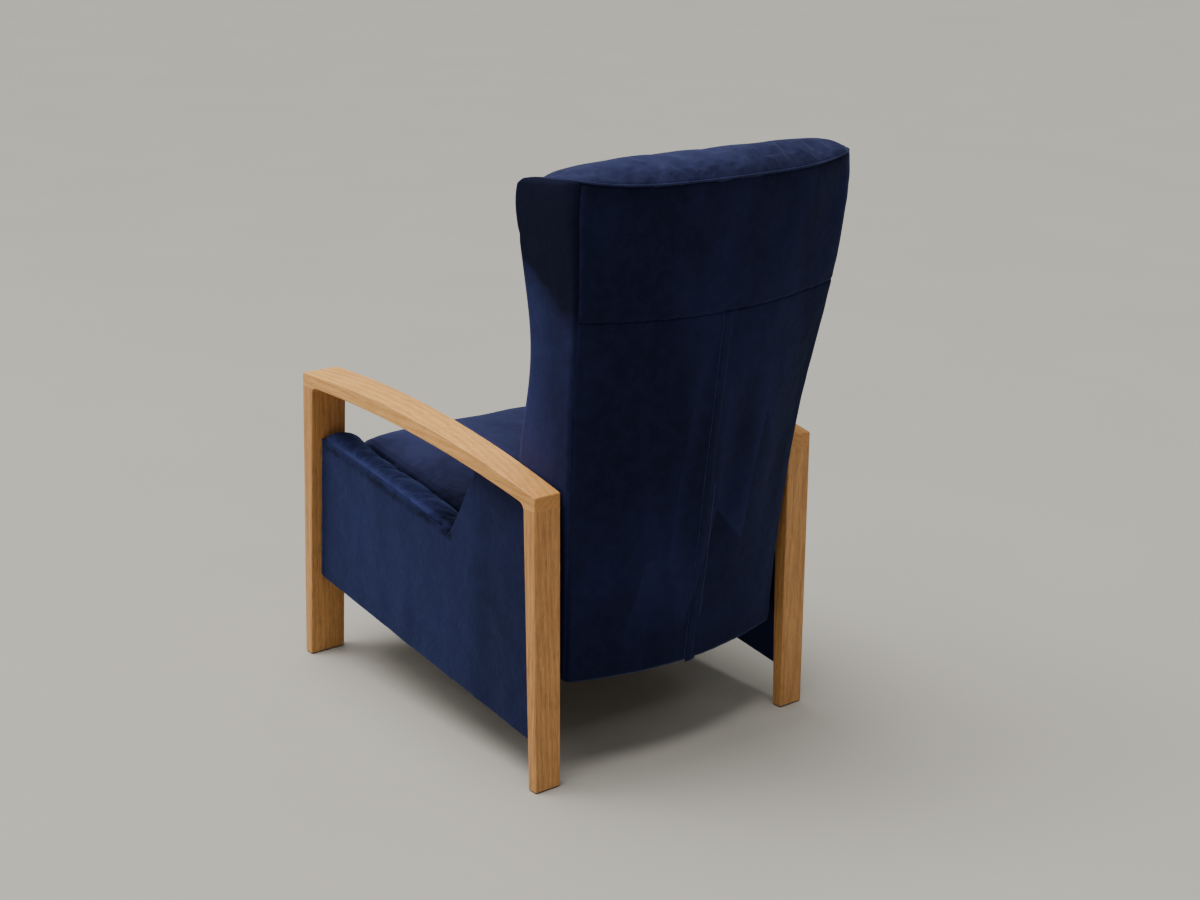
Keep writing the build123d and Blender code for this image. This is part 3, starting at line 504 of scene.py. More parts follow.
def buildRear(velvet):
    r = rearCover
    low = rearPanel(hemHeight, seamHeight)
    high = rearPanel(seamHeight, lambda t: weltPoint(t)[..., 2])
    whole = np.concatenate([mirrored(high)[:, :-1], high], axis=1)
    for name, node, points, borders, seed in (
            ("leftRearCover", "left_rear_cover", low, (1.5, 1, 0.25, 1), 11),
            ("rightRearCover", "right_rear_cover", mirrored(low), (1.5, 1, 1, 0.25), 21),
            ("upperRearCover", "upper_rear_cover", whole, (1, 1, 1, 1), 31)):
        points = seamed(rearSlack(points), r["seamDepth"], r["seamWidth"], borders, r["pucker"], seed)
        pad(name, points, r["thickness"], velvet, "back", [node])
    print("rear covers made")


placket = {
    "rows": 200, "columns": 24, "width": 0.026, "proud": 0.0026, "thickness": 0.0012, "edge": 0.0006,
    "edgeSize": 0.06, "tail": 0.003, "topGap": 0.002, "fold": 0.0012, "start": -0.0009, "stitch": 0.004,
    "free": 0.012, "fill": 0.1,
}


def buildPlacket(velvet, foldHighlightVelvet):
    # strip over the closing: sewn down along one edge, free and a little proud along the centre line
    p = placket
    v, u = grid(p["rows"], p["columns"])
    x = p["width"] * (1 - u)
    z = mix(backShape["hem"] - p["tail"], backShape["seam"] - p["topGap"], v)
    points = rearSlack(mirrored(backSurface(x / (atLevel("halfWidths", z) - atLevel("rearCorners", z)), z)))
    fromStitch = edgeDistances(points)[2]
    ripple = p["edge"] * waves(points * np.array((0, 0, 1)), p["edgeSize"], 3)
    lift = p["start"] + p["proud"] * smoothStep(p["stitch"], p["width"], fromStitch) ** 2
    lift = lift + ripple * smoothStep(p["free"], p["width"], fromStitch)
    normal = normalsOf(points)
    outer = points + normal * lift[..., None]
    piece = facingOut(closedSheet("zipPlacket", outer, outer - normal * p["thickness"], velvet))
    asPad(piece, "back", ["zip_placket"])
    # the fold along its free edge, in a lighter velvet as a painted highlight
    asTrim(cordAlong("placketFold", outer[1:-1, -1], p["fold"], foldHighlightVelvet, around=8), "back")
    print("placket made")


wing = {
    "rows": 180, "bendRows": 12, "rearColumns": 10, "sideColumns": 70, "frontColumns": 30, "returnColumns": 8,
    "thickness": 0.010, "returnDepth": 0.030, "gap": 0.0006, "seamDepth": 0.0024, "seamWidth": 0.006,
    "pucker": 0.0004, "slack": 0.0010, "slackSize": 0.20, "pinch": 0.0016, "pinchHeight": 1.000,
    "pinchReach": 0.008, "pinchFrom": 0.10, "pinchTo": -0.02, "fill": 0.6,
}


def wingPanel():
    # from the rear corner along the side, round the front corner and back in beside the cushion; the top edge
    # bends inwards on a quarter circle: height R sin q, inwards R(1 - cos q)
    w, b = wing, backShape
    t = np.concatenate([np.linspace(1.5, 2, w["rearColumns"])[:-1], np.linspace(2, 3, w["sideColumns"])[:-1],
                        np.linspace(3, 4, w["frontColumns"])])
    low = mix(hemHeight(t), b["hem"] + b["hemRise"], smoothStep(1.5, 2, t))
    radius, top = topRound(t), weltPoint(t)[..., 2] - cornerDip(t)
    quarter = np.linspace(0, math.pi / 2, w["bendRows"] + 1)[1:, None]
    z = np.concatenate([mix(low, top - radius, np.linspace(0, 1, w["rows"])[:, None]),
                        top - radius + radius * np.sin(quarter)])
    bend = np.concatenate([np.zeros((w["rows"], 1)), 1 - np.cos(quarter)])
    side = backSurface(t[None], z)
    lastX, _, lastZ = np.moveaxis(side[:, -1:], -1, 0)
    core = coreHalf(lastZ) + w["gap"]
    share = np.linspace(0, 1, w["returnColumns"])[None, 1:]
    x = mix(lastX, core, share)
    front = stack(x, frontAt(x, lastZ), lastZ)
    inner = stack(core, front[:, -1:, 1] + w["returnDepth"] * share, lastZ)
    panel = np.concatenate([side, front, inner], axis=1)
    radius = np.concatenate([radius, mix(radius[-1], b["sharpTop"], share[0]),
                             np.full(share.shape[1], b["sharpTop"])])
    return panel - squareTo(np.gradient(panel, axis=1)) * (bend * radius)[..., None]


def buildWings(velvet):
    w = wing
    points = wingPanel()
    forward = smoothStep(pivotY + w["pinchFrom"], pivotY + w["pinchTo"], points[..., 1])
    pinch = w["pinch"] * forward * np.exp(-((points[..., 2] - w["pinchHeight"]) / w["pinchReach"]) ** 2)
    slack = w["slack"] * waves(points * np.array((1, 1, 0.5)), w["slackSize"], 7)
    points = points - normalsOf(points) * (pinch + slack)[..., None]
    points = seamed(points, w["seamDepth"], w["seamWidth"], (1.5, 0.2, 1, 0), w["pucker"], 41)
    padPair("Wing", "wing", points, w["thickness"], velvet, "back")
    print("wings made")


crest = {
    "rows": 72, "columns": 180, "height": 0.0365, "endPower": 6.0, "halfWidth": 0.3165, "endDrop": 0.0045,
    "endIn": 0.35, "rearReach": 2.15, "frontReach": 2.0, "edgePower": 14, "under": 0.010,
    "frontDrop": 0.012, "dropFrom": 0.75, "dropEnd": 0.8,
    "way": (0, 0.05, 0.12, 0.22, 0.33, 0.47, 0.66, 0.85, 0.95, 1),
    "rise": (0, 0.42, 0.72, 0.93, 1.0, 0.95, 0.85, 0.73, 0.50, 0), "mostRise": 1.05,
    "slack": 0.0008, "slackSize": 0.12, "slackFull": 0.02, "underWidth": 0.985, "cap": 0.0035, "fill": 0.8,
    "weltRadius": 0.0021, "weltProud": 0.0011, "weltEnd": 0.10, "weltSink": 0.005, "weltThin": 0.4,
    "weltLast": 2.8,
}


def buildCrest(velvet):
    # pillow over the crescent: height H sqrt(1 - |x/half|^6) times a profile from rear to front
    c = crest
    b, a = grid(c["rows"], c["columns"])
    a = np.sin((a - 0.5) * math.pi)
    across = np.abs(a)
    rear = crestEdge(across * c["rearReach"], c["endIn"], c["endDrop"])
    front = crestEdge(5 - across * c["frontReach"], c["endIn"], c["endDrop"])
    way = (1 - np.cos(b * math.pi)) / 2
    points = mix(rear, front, way[..., None])
    points[..., 0] *= np.sign(a)
    rise = np.clip(splineAt(c["way"], c["rise"], way), 0, c["mostRise"])
    outwards = np.clip(np.abs(points[..., 0]) / c["halfWidth"], 0, 1)
    ends = np.sqrt((1 - outwards ** c["endPower"]) * (1 - across ** c["edgePower"]))
    dome = (c["height"] - weltLift(points[..., 0])) * ends * rise
    drop = c["frontDrop"] * smoothStep(c["dropFrom"], 1.0, way) * smoothStep(1.0, c["dropEnd"], across)
    base = points[..., 2] - drop
    slack = c["slack"] * waves(points, c["slackSize"], 9) * np.clip(dome / c["slackFull"], 0, 1)
    points[..., 2] = base + dome + slack
    under = points.copy()
    under[..., 2] = base - c["under"]
    piece = facingOut(closedSheet("backCrest", points, under * np.array((c["underWidth"], 1, 1)), velvet))
    puffUp(piece, borderOf(points), upwardCap(c["cap"]), 0.0)
    asPad(piece, "back", ["back_crest"])
    # welt: a thin cord in its own cloth round the crest, from one wing's front over the rear to the other
    t = np.concatenate([np.linspace(0, 1, 90)[:-1], np.linspace(1, 2, 14)[:-1],
                        np.linspace(2, c["weltLast"], 30)])
    line = crestEdge(t)
    line = line + outwardAt(t, line[..., 2]) * c["weltProud"]
    path = np.concatenate([(line * np.array((-1, 1, 1)))[::-1][:-1], line])
    share = np.linspace(0, 1, len(path))
    thin = smoothStep(0, c["weltEnd"], share) * smoothStep(1, 1 - c["weltEnd"], share)
    path[:, 2] -= c["weltSink"] * (1 - thin)
    asTrim(cordAlong("crestWelt", path, c["weltRadius"] * mix(c["weltThin"], 1, thin), velvet), "back")
    print("crest and welt made")


frontPads = {
    "rows": 110, "columns": 110, "gap": 0.0010, "depth": 0.060, "crown": 0.006, "headCrown": 0.009,
    "crownPower": 0.6, "seamDepth": 0.008, "seamWidth": 0.012, "pucker": 0.0008, "low": 0.379, "seam": 1.000,
    "slack": 0.0012, "slackSize": 0.2, "cap": 0.005, "sideCap": 0.0004, "fill": 0.6, "arcShare": 0.944,
    "seed": 51,
}


def borderOf(points):
    return np.concatenate([points[0], points[-1], points[:, 0], points[:, -1]])


def frontPad(low, high, crown):
    # the front arc between the wings, swollen by crown (sin(pi u) sin(pi v))^0.6
    f = frontPads
    v, u = grid(f["rows"], f["columns"])
    x = mix(1, -1, u)
    z = mix(low(x), high(x), v)
    x = x * (coreHalf(z) - f["gap"])
    swell = crown * (np.sin(math.pi * u) * np.sin(math.pi * v)).clip(0) ** f["crownPower"]
    return stack(x, frontAt(x, z) - swell + f["slack"] * waves(stack(x, 0 * x, z), f["slackSize"], 13), z)


def buildFrontPads(velvet):
    f = frontPads
    seam = lambda x: f["seam"] + 0 * x
    top = lambda x: weltPoint(5 - np.abs(x) * f["arcShare"])[..., 2] - crest["frontDrop"]
    for name, node, low, high, crown in (
            ("backCushion", "back_cushion", lambda x: f["low"] + 0 * x, seam, f["crown"]),
            ("headCushion", "head_cushion", seam, top, f["headCrown"])):
        outer = seamed(frontPad(low, high, crown), f["seamDepth"], f["seamWidth"], pucker=f["pucker"],
                       seed=f["seed"])
        piece = facingOut(closedSheet(name, outer, outer + np.array((0, f["depth"], 0)), velvet))
        puffUp(piece, borderOf(outer),
               lambda at, normal: f["cap"] * smoothStep(0.3, 0.7, -normal[:, 1]) + f["sideCap"])
        asPad(piece, "back", [node])
    print("front cushions made")


# Side covers, rolls and facings; the right side is the left one mirrored
def roundedLoops(corners, radii, bendSteps=8, sideSteps=10):
    # closed sections from corner points: each corner is a quadratic curve that starts and ends a radius away
    count = corners.shape[1]
    u = np.linspace(0, 1, bendSteps)[None, :, None]
    share = np.linspace(0, 1, sideSteps + 1)[None, 1:-1, None]
    bends, loop = [], []
    for k in range(count):
        here = corners[:, k]
        radius = np.broadcast_to(radii[k], (len(corners),))[:, None]
        toward = lambda p: (p - here) / np.maximum(np.linalg.norm(p - here, axis=1, keepdims=True), 1e-6)
        start, end = [here + toward(corners[:, n % count]) * radius for n in (k - 1, k + 1)]
        bends.append(curve(u, start[:, None], here[:, None], end[:, None]))
    for k in range(count):
        loop += [bends[k], mix(bends[k][:, -1:], bends[(k + 1) % count][:, :1], share)]
    return np.concatenate(loop, axis=1)


coverLow, coverHigh = boxOf("left_side_cover")
rollLow, rollHigh = boxOf("left_arm_roll")
boardLow = boxOf("left_side_board")[0]
sideCover = {
    "columns": 240, "faceRows": 90, "bendRows": 8, "lipRows": 6, "evenness": 0.35,
    "frontLow": 0.173, "frontTop": 0.446, "notch": (-0.189, 0.404), "rise": (-0.095, 0.558),
    "notchRound": 0.004, "shoulderAt": (-0.414, -0.323, -0.216, -0.130, -0.040, 0.048, 0.148),
    "shoulder": (0.4725, 0.4605, 0.4465, 0.4350, 0.4190, 0.4020, 0.3880), "frontRound": 0.004,
    "frontLean": 0.0095, "rearLean": 0.0245, "proud": 0.0020, "edge": 0.0018, "thickness": 0.0024,
    "edgeRound": 0.006, "frontLip": 0.012, "rearLipBottom": 0.440, "slack": 0.0007, "slackSize": 0.13,
    "seamDepth": 0.0016, "seamWidth": 0.005, "pucker": 0.0003, "boardGap": 0.0012, "lipFrom": -0.01,
    "lipTo": 0.03, "lipWidths": 2.1, "armFront": 0.577, "armRear": 0.531, "armBow": 0.022, "armGap": 0.001,
    "fill": 0.3,
}
notchY = sideCover["notch"][0] + pivotY


def shoulderAt(y):
    return splineAt(sideCover["shoulderAt"], sideCover["shoulder"], y)


def underArm(y):
    # the arm's underside: a straight fall from front to rear and a bow of 4 b t (1 - t) over it
    s = sideCover
    low, high = boxOf("left_arm")
    share = (y - low[1]) / (high[1] - low[1])
    return mix(s["armFront"], s["armRear"], share) + 4 * s["armBow"] * share * (1 - share)


def coverTop(y):
    # the shoulder beside the roll, then the rise behind it, then the arm's underside, with rounded changes
    s = sideCover
    climb = s["notch"][1] + (y - notchY) * (s["rise"][1] - s["notch"][1]) / (s["rise"][0] + pivotY - notchY)
    r = s["notchRound"]
    low = np.logaddexp(shoulderAt(y) / r, climb / r) * r
    return -np.logaddexp(-low / r, -(underArm(y) - s["armGap"]) / r) * r


def buildSideCovers(velvet):
    # rows run up the inside lip, round the lower edge, up the outer face, over the top edge and down inside
    s = sideCover
    u = np.linspace(0, 1, s["columns"])
    u = mix(u, (1 - np.cos(u * math.pi)) / 2, s["evenness"])
    y0 = mix(coverLow[1], coverHigh[1], u)
    top, low = coverTop(y0) - s["edge"], mix(s["frontLow"], coverLow[2], u)
    outerX, insideX = coverHigh[0] + s["proud"], boardLow[0] - s["boardGap"]
    rearLip = smoothStep(notchY + s["lipFrom"], notchY + s["lipTo"], y0)
    r = mix(s["frontRound"], s["edgeRound"], rearLip)
    innerX = mix(outerX - s["lipWidths"] * s["frontRound"], insideX, rearLip)
    lipEnd = mix(top - s["frontLip"], np.minimum(top - s["frontLip"], s["rearLipBottom"]), rearLip)
    quarter = np.linspace(0, 1, s["bendRows"])[:, None] * math.pi / 2
    steps = lambda count: np.linspace(0, 1, count)[:, None]
    rows = [
        (insideX, mix(low + s["frontLip"], low, steps(s["lipRows"]))),
        (outerX - r + r * np.sin(quarter), low + r - r * np.cos(quarter)),
        (outerX, mix(low + r, top - r, steps(s["faceRows"])[1:-1])),
        (outerX - r + r * np.cos(quarter), top - r + r * np.sin(quarter)),
        (innerX + r - r * np.sin(quarter), top - r + r * np.cos(quarter)),
        (innerX, mix(top - r, lipEnd, steps(s["lipRows"])[1:])),
    ]
    x = np.concatenate([np.broadcast_to(a, b.shape) for a, b in rows])
    z = np.concatenate([b for _, b in rows])
    lean = mix(s["frontLean"] * (z - s["frontLow"]) / (s["frontTop"] - s["frontLow"]),
               -s["rearLean"] * (z - coverLow[2]) / (coverHigh[2] - coverLow[2]), u[None])
    points = stack(x, y0[None] + lean, z)
    face = smoothStep(outerX - 0.004, outerX - 0.001, x)
    points[..., 0] += face * s["slack"] * waves(points, s["slackSize"], 17)
    points = seamed(points[:, ::-1], s["seamDepth"], s["seamWidth"], (0, 0, 1, 1), s["pucker"], 61)
    padPair("SideCover", "side_cover", points, s["thickness"], velvet, "frame")
    print("side covers made")


armRoll = {
    "rows": 170, "evenness": 0.6, "frontBottom": 0.366, "rearBottom": 0.318, "rearY": -0.175,
    "tailBottom": 0.376, "outerRadius": 0.013, "innerRadius": 0.018, "lowRadius": 0.012, "endRound": 0.010,
    "endDraw": 0.16, "creaseDip": 0.0006, "creaseReach": 0.010, "wrinkle": 0.0012, "wrinkleSize": 0.030,
    "wrinkleBack": 0.03, "wrinkleReach": 0.05, "slack": 0.0010, "slackSize": 0.10, "facingDepth": 0.034,
    "facingBottom": 0.186, "creaseAt": 22, "cap": 0.003, "inside": 0.001, "above": 0.0025,
    "frontAbove": 0.0120, "frontReach": 0.12, "crestIn": 0.024, "fall": 6.8, "fallReach": 0.05,
    "stepUp": 0.0005, "fill": 0.8, "facingFill": 0.5, "facingRound": 0.008, "facingDraw": 0.12,
    "facingEnd": 0.006,
}


def rollSections():
    a = armRoll
    rearY = a["rearY"] + pivotY
    front, tail = rollLow[1] + 0.001, rollHigh[1] - 0.001
    share = np.linspace(0, 1, a["rows"])
    y = mix(front, tail, mix(share, (1 - np.cos(share * math.pi)) / 2, a["evenness"]))
    along = (y - front) / (rearY - front)
    beyond = np.clip((y - rearY) / (tail - rearY), 0, 1)
    top = shoulderAt(y) + mix(a["frontAbove"], a["above"], smoothStep(front, front + a["frontReach"], y))
    bottom = np.where(along < 1, mix(a["frontBottom"], a["rearBottom"], along),
                      mix(a["rearBottom"], a["tailBottom"], beyond))
    crease = mix(sideCover["frontTop"], sideCover["notch"][1], (y - coverLow[1]) / (notchY - coverLow[1]))
    inside = smoothStep(notchY - 0.012, notchY + 0.004, y)
    outer = mix(coverHigh[0] - a["inside"], boardLow[0] - 0.0006, inside)
    board = np.minimum(boardLow[0] - 0.0003, outer - 0.0001)
    inner = np.full_like(y, rollLow[0] + 0.001)
    crease = np.minimum(crease + a["stepUp"], top - 0.006)
    corners = ((outer, crease), (outer, top), (inner, top), (inner, bottom), (board, bottom), (board, crease))
    points = np.stack([np.stack(corner, 1) for corner in corners], axis=1)
    radii = [0.003, np.minimum(a["outerRadius"], (top - crease) * 0.6), a["innerRadius"] * (1 - 0.4 * beyond),
             np.minimum(a["lowRadius"], (top - bottom) * 0.3), 0.003,
             np.minimum(0.002, (outer - board) * 0.4)]
    loops = roundedLoops(points, radii, 9, 12)
    # the top falls inwards from its crest as a square of the distance
    high = smoothStep(-a["fallReach"], 0, loops[..., 1] - top[:, None])
    inwards = np.maximum(outer[:, None] - a["crestIn"] - loops[..., 0], 0)
    loops[..., 1] -= a["fall"] * high * inwards ** 2
    loops = drawnIn(loops, a["endDraw"], np.minimum(y - front, tail - y), a["endRound"])
    return stack(loops[..., 0], y[:, None], loops[..., 1])


def buildRolls(velvet):
    a = armRoll
    loops = rollSections()
    nearNotch = np.exp(-((loops[..., 1] - notchY + a["wrinkleBack"]) / a["wrinkleReach"]) ** 2)
    wrinkles = waves(loops * np.array((1, 1, 0.4)), a["wrinkleSize"], 29)
    amount = a["slack"] * waves(loops, a["slackSize"], 23) + a["wrinkle"] * nearNotch * wrinkles
    # short puckers along the shoulder, square to it
    height = loops[..., 2] - shoulderAt(loops[..., 1])
    outside = smoothStep(coverHigh[0] - 0.012, coverHigh[0], loops[..., 0])
    nearCrease = np.exp(-(height / a["creaseReach"]) ** 2) * outside
    amount = amount - a["creaseDip"] * nearCrease * (0.6 + 0.4 * waves(loops * np.array((0, 1, 0)), 0.03, 31))
    loops = pushedOut(loops, amount)
    left = facingOut(closedTube("leftArmRoll", loops, velvet))
    puffUp(left, np.concatenate([loops[:, a["creaseAt"]], loops[1], loops[-2]]), upwardCap(a["cap"]), 0.0)
    right = bpy.data.objects.new("rightArmRoll", left.data.copy())
    bpy.context.scene.collection.objects.link(right)
    right.data.vertices.foreach_set("co", (meshVectors(left.data, "co") * np.array((-1, 1, 1))).ravel())
    facingOut(right)
    asPad(left, "frame", ["left_arm_roll"])
    asPad(right, "frame", ["right_arm_roll"])
    # facing: an upright pad behind the front leg, under the roll
    z = np.linspace(a["facingBottom"], a["frontBottom"] + 0.01, 60)
    low, high = rollLow[1] + 0.002, rollLow[1] + a["facingDepth"]
    inner, outer = rollLow[0] + 0.001, boardLow[0] - 0.0005
    corners = np.array([(inner, low), (outer, low), (outer, high), (inner, high)])
    loops = roundedLoops(np.broadcast_to(corners, (len(z), 4, 2)), [a["facingRound"]] * 4, 6, 12)
    loops = drawnIn(loops, a["facingDraw"], z - z[0], a["facingEnd"])
    loops = stack(loops[..., 0], loops[..., 1], z[:, None])
    for name, side in (("leftFrontFacing", 1), ("rightFrontFacing", -1)):
        piece = facingOut(closedTube(name, loops * np.array((side, 1, 1)), velvet))
        asPad(piece, "frame", [])
    print("rolls and facings made")


# Seat cushion, in the seat's own slope: u runs down to the rear, w stands square to it
seatPad = {
    "slope": math.radians(9), "edge": (-0.605, 0.458), "frontU": -0.050, "rearU": 0.545, "thickness": 0.083,
    "crown": 0.006, "crownReach": 0.03, "drawIn": 0.003, "nose": 0.064, "round": 0.016, "thinRound": 0.42,
    "rows": 150, "seamDip": 0.0022, "seamWidth": 0.004, "seamBelow": 0.8, "slack": 0.0013, "slackSize": 0.14,
    "inset": 0.001, "cornerStep": 14, "sideSteps": 44, "topCap": 0.005, "sideCap": 0.0006,
    "frontCap": 0.0012, "frontReach": 0.12, "fill": 0.7,
}


def roundOver(distance, radius):
    # drop of a rounded edge: r - sqrt(r^2 - (r - d)^2)
    inside = np.clip(radius - distance, 0, radius)
    return radius - np.sqrt(np.maximum(radius ** 2 - inside ** 2, 0))


def seatLoops():
    s = seatPad
    half = boxOf("seat_cushion")[1][0]
    share = (1 - np.cos(np.linspace(0, 1, s["rows"]) * math.pi)) / 2
    u = mix(s["frontU"] + s["inset"], s["rearU"] - s["inset"], share)
    share = (u - s["frontU"]) / (s["rearU"] - s["frontU"])
    swell = 4 * share * (1 - share)
    rearRound = roundOver(s["rearU"] - u, s["round"])
    top = -roundOver(u - s["frontU"], s["nose"]) - rearRound
    bottom = roundOver(u - s["frontU"], s["round"]) + rearRound - s["thickness"]
    half = half - s["drawIn"] * swell
    corners = ((half, top), (-half, top), (-half, bottom), (half, bottom))
    corners = np.stack([np.stack(corner, 1) for corner in corners], axis=1)
    radius = np.minimum(s["round"], (top - bottom) * s["thinRound"])
    loops = roundedLoops(corners, [radius] * 4, s["cornerStep"], s["sideSteps"])
    high = smoothStep(-s["crownReach"], 0, loops[..., 1] - top[:, None])
    crown = (s["crown"] * swell)[:, None]
    loops[..., 1] += crown * high * (1 - (loops[..., 0] / half[:, None]) ** 2)
    return u, top, loops


def seatPlaced(u, loops):
    s = seatPad
    y = s["edge"][0] + pivotY + u[:, None] * math.cos(s["slope"]) + loops[..., 1] * math.sin(s["slope"])
    z = s["edge"][1] - u[:, None] * math.sin(s["slope"]) + loops[..., 1] * math.cos(s["slope"])
    return stack(loops[..., 0], y, z)


def buildSeat(velvet):
    s = seatPad
    u, top, loops = seatLoops()
    points = seatPlaced(u, loops)
    fromSeam = np.abs(loops[..., 1] - top[:, None] + s["round"] * s["seamBelow"])
    sideways = smoothStep(0.012, 0.002, np.abs(np.abs(loops[..., 0]) - boxOf("seat_cushion")[1][0]))
    dip = s["seamDip"] * sideways * np.exp(-(fromSeam / s["seamWidth"]) ** 2)
    points = pushedOut(points, s["slack"] * waves(points, s["slackSize"], 37) - dip)
    piece = facingOut(closedTube("seatCushion", points, velvet))
    corners = [s["cornerStep"] // 2 + k * (s["cornerStep"] + s["sideSteps"] - 1) for k in range(4)]
    front = points[..., 1].min()
    most = lambda at: mix(s["frontCap"], s["topCap"], smoothStep(front, front + s["frontReach"], at[:, 1]))
    puffUp(piece, np.concatenate([points[:, k] for k in corners]),
           lambda at, normal: mix(s["sideCap"], most(at), np.clip(normal[:, 2], 0, 1)))
    asPad(piece, "seat", ["seat_cushion"])
    print("seat cushion made")


footPad = {
    "columns": 130, "nose": 0.0135, "crown": 0.004, "round": 0.010, "endRound": 0.008, "endDraw": 0.10,
    "slack": 0.0008, "slackSize": 0.11, "cap": 0.0035, "inset": 0.0005, "sideInset": 0.001, "fill": 0.7,
}


def buildFootrest(velvet):
    # the section (nose, front, rounded lower edge, flat rear) carried across the width
    f = footPad
    low, high = boxOf("footrest_pad")
    hinge = joints["footrest_lift"]["pos_m"]
    front, rear, bottom = low[1] + f["crown"], high[1] - f["inset"], low[2] + f["inset"]
    x = (high[0] - f["sideInset"]) * np.sin((np.linspace(0, 1, f["columns"]) - 0.5) * math.pi)
    noseTop = hinge[2] + f["nose"]
    corners = np.array([(front, bottom), (front, noseTop), (hinge[1] + f["nose"], noseTop), (rear, hinge[2]),
                        (rear, bottom)])
    loops = roundedLoops(np.broadcast_to(corners, (len(x), 5, 2)).copy(),
                         [f["round"], f["nose"], f["nose"] * 0.9, 0.002, 0.004], 10, 26)
    edge = 1 - (np.abs(x) / x.max()) ** 8
    middle = np.sin(np.clip((loops[..., 1] - low[2]) / (noseTop - low[2]), 0, 1) * math.pi)
    ahead = smoothStep(0.004, 0, loops[..., 0] - front)
    loops[..., 0] -= f["crown"] * ahead * middle * edge[:, None]
    loops = drawnIn(loops, f["endDraw"], x.max() - np.abs(x), f["endRound"])
    points = stack(x[:, None], loops[..., 0], loops[..., 1])
    points[..., 1] -= f["slack"] * ahead * waves(points, f["slackSize"], 43)
    piece = facingOut(closedTube("footrestPad", points, velvet))
    puffUp(piece, np.concatenate([points[1], points[-2]]),
           lambda at, normal: f["cap"] * np.clip(-normal[:, 1], 0, 1) + clothWork["leastCap"])
    asPad(piece, "footrest", ["footrest_pad"])
    print("foot rest made")


# Lower lining of the back and the seat's straps
lining = {
    "columns": 70, "rows": 40, "thickness": 0.0014, "bow": 0.0035, "hem": 0.016, "hemStep": 0.001,
    "hemProud": 0.0008, "pull": 0.0006, "pullReach": 0.02, "pullSize": 0.045, "inset": 0.0005,
}


def buildLining(cloth):
    # thin cloth stretched over the frame's lower front: a straight slope with a bow sin(pi u) sin(pi v)
    g = lining
    low, high = boxOf("lower_front_lining")
    v, u = grid(g["rows"], g["columns"])
    x = mix(high[0] - g["inset"], low[0] + g["inset"], u)
    z = mix(low[2] + g["inset"], high[2] - g["inset"], v)
    y = mix(low[1], high[1] - g["thickness"], v) + g["bow"] * np.sin(math.pi * u) * np.sin(math.pi * v)
    points = stack(x, y, z)
    edge = np.minimum.reduce(edgeDistances(points))
    lift = g["hemProud"] * smoothStep(g["hem"] + g["hemStep"], g["hem"] - g["hemStep"], edge)
    pull = g["pull"] * np.exp(-edge / g["pullReach"]) * np.sin(2 * math.pi * (x + z) / g["pullSize"])
    points[..., 1] -= lift + pull - g["pull"]
    inner = points + np.array((0, g["thickness"], 0))
    piece = facingOut(closedSheet("lowerLining", points, inner, cloth))
    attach(piece, "back")
    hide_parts("lower_front_lining")
    print("lining made")


straps = {
    "count": 6, "width": 0.055, "thickness": 0.0019, "rows": 60, "columns": 12, "sag": 0.003,
    "ripple": 0.0004, "rippleSize": 0.11, "rippleStep": 1.7, "inset": 0.0005, "bearing": 0.018,
}


def buildStraps(cloth):
    # flat woven straps from rail to rail, sag(1 - (x/half)^2) between them, thinner at the selvedges
    g = straps
    low, high = boxOf("seat_webbing")
    slope, thickness = seatPad["slope"], g["thickness"]
    # the two far corners of the box lie one strap thickness apart, square to the slope
    length = (high[1] - low[1] - thickness * math.sin(slope)) / math.cos(slope)
    step = (length - g["width"]) / (g["count"] - 1)
    v, u = grid(g["rows"], g["columns"])
    x = mix(high[0] - g["inset"], low[0] + g["inset"], v)
    sag = g["sag"] * np.clip(1 - (x / (high[0] - g["bearing"])) ** 2, 0, 1)
    thin = 0.5 * thickness * np.sqrt(np.clip(1.02 - ((u - 0.5) * 2) ** 6, 0.02, 1))
    points, faces, count = [], [], 0
    for k in range(g["count"]):
        along = k * step + g["width"] * u
        ripple = np.sin(2 * math.pi * x / g["rippleSize"] + g["rippleStep"] * k)
        ripple = g["ripple"] * ripple * (sag / g["sag"])
        for side in (1, -1):
            w = -thickness / 2 - sag + ripple + side * thin
            y = low[1] + thickness * math.sin(slope) + along * math.cos(slope) + w * math.sin(slope)
            z = high[2] - along * math.sin(slope) + w * math.cos(slope)
            points.append(stack(x, y, z).reshape(-1, 3))
            faces.append(gridFaces(g["rows"], g["columns"], first=count, flip=side < 0))
            count += u.size
        faces.append(rimFaces(g["rows"], g["columns"], count - 2 * u.size))
    piece = facingOut(makeMesh("seatStraps", np.concatenate(points), np.concatenate(faces), cloth))
    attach(piece, "seat")
    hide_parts("seat_webbing")
    print("straps made")


# Materials
class Field:
    # what a node puts out; sums and products of it are new nodes
    def __init__(self, node, key):
        self.socket, self.tree = node.outputs[key], node.id_data

    def __add__(self, other):
        return maths("ADD", self, other)

    def __sub__(self, other):
        return maths("SUBTRACT", self, other)

    def __rsub__(self, other):
        return maths("SUBTRACT", other, self)

    def __mul__(self, other):
        return maths("MULTIPLY", self, other)

    def __rtruediv__(self, other):
        return maths("DIVIDE", other, self)

    def __abs__(self):
        return maths("ABSOLUTE", self)


def connect(node, inputs):
    for key, value in inputs.items():
        if isinstance(value, Field):
            node.id_data.links.new(value.socket, node.inputs[key])
        else:
            node.inputs[key].default_value = value


def addNode(tree, kind, inputs=None, **settings):
    node = tree.nodes.new(kind)
    for key, value in settings.items():
        setattr(node, key, value)
    connect(node, inputs or {})
    return node


def spaced(values):
    return {label.replace("_", " "): value for label, value in values.items()}


def maths(operation, *values):
    tree = [value.tree for value in values if isinstance(value, Field)][0]
    return Field(addNode(tree, "ShaderNodeMath", dict(enumerate(values)), operation=operation), 0)


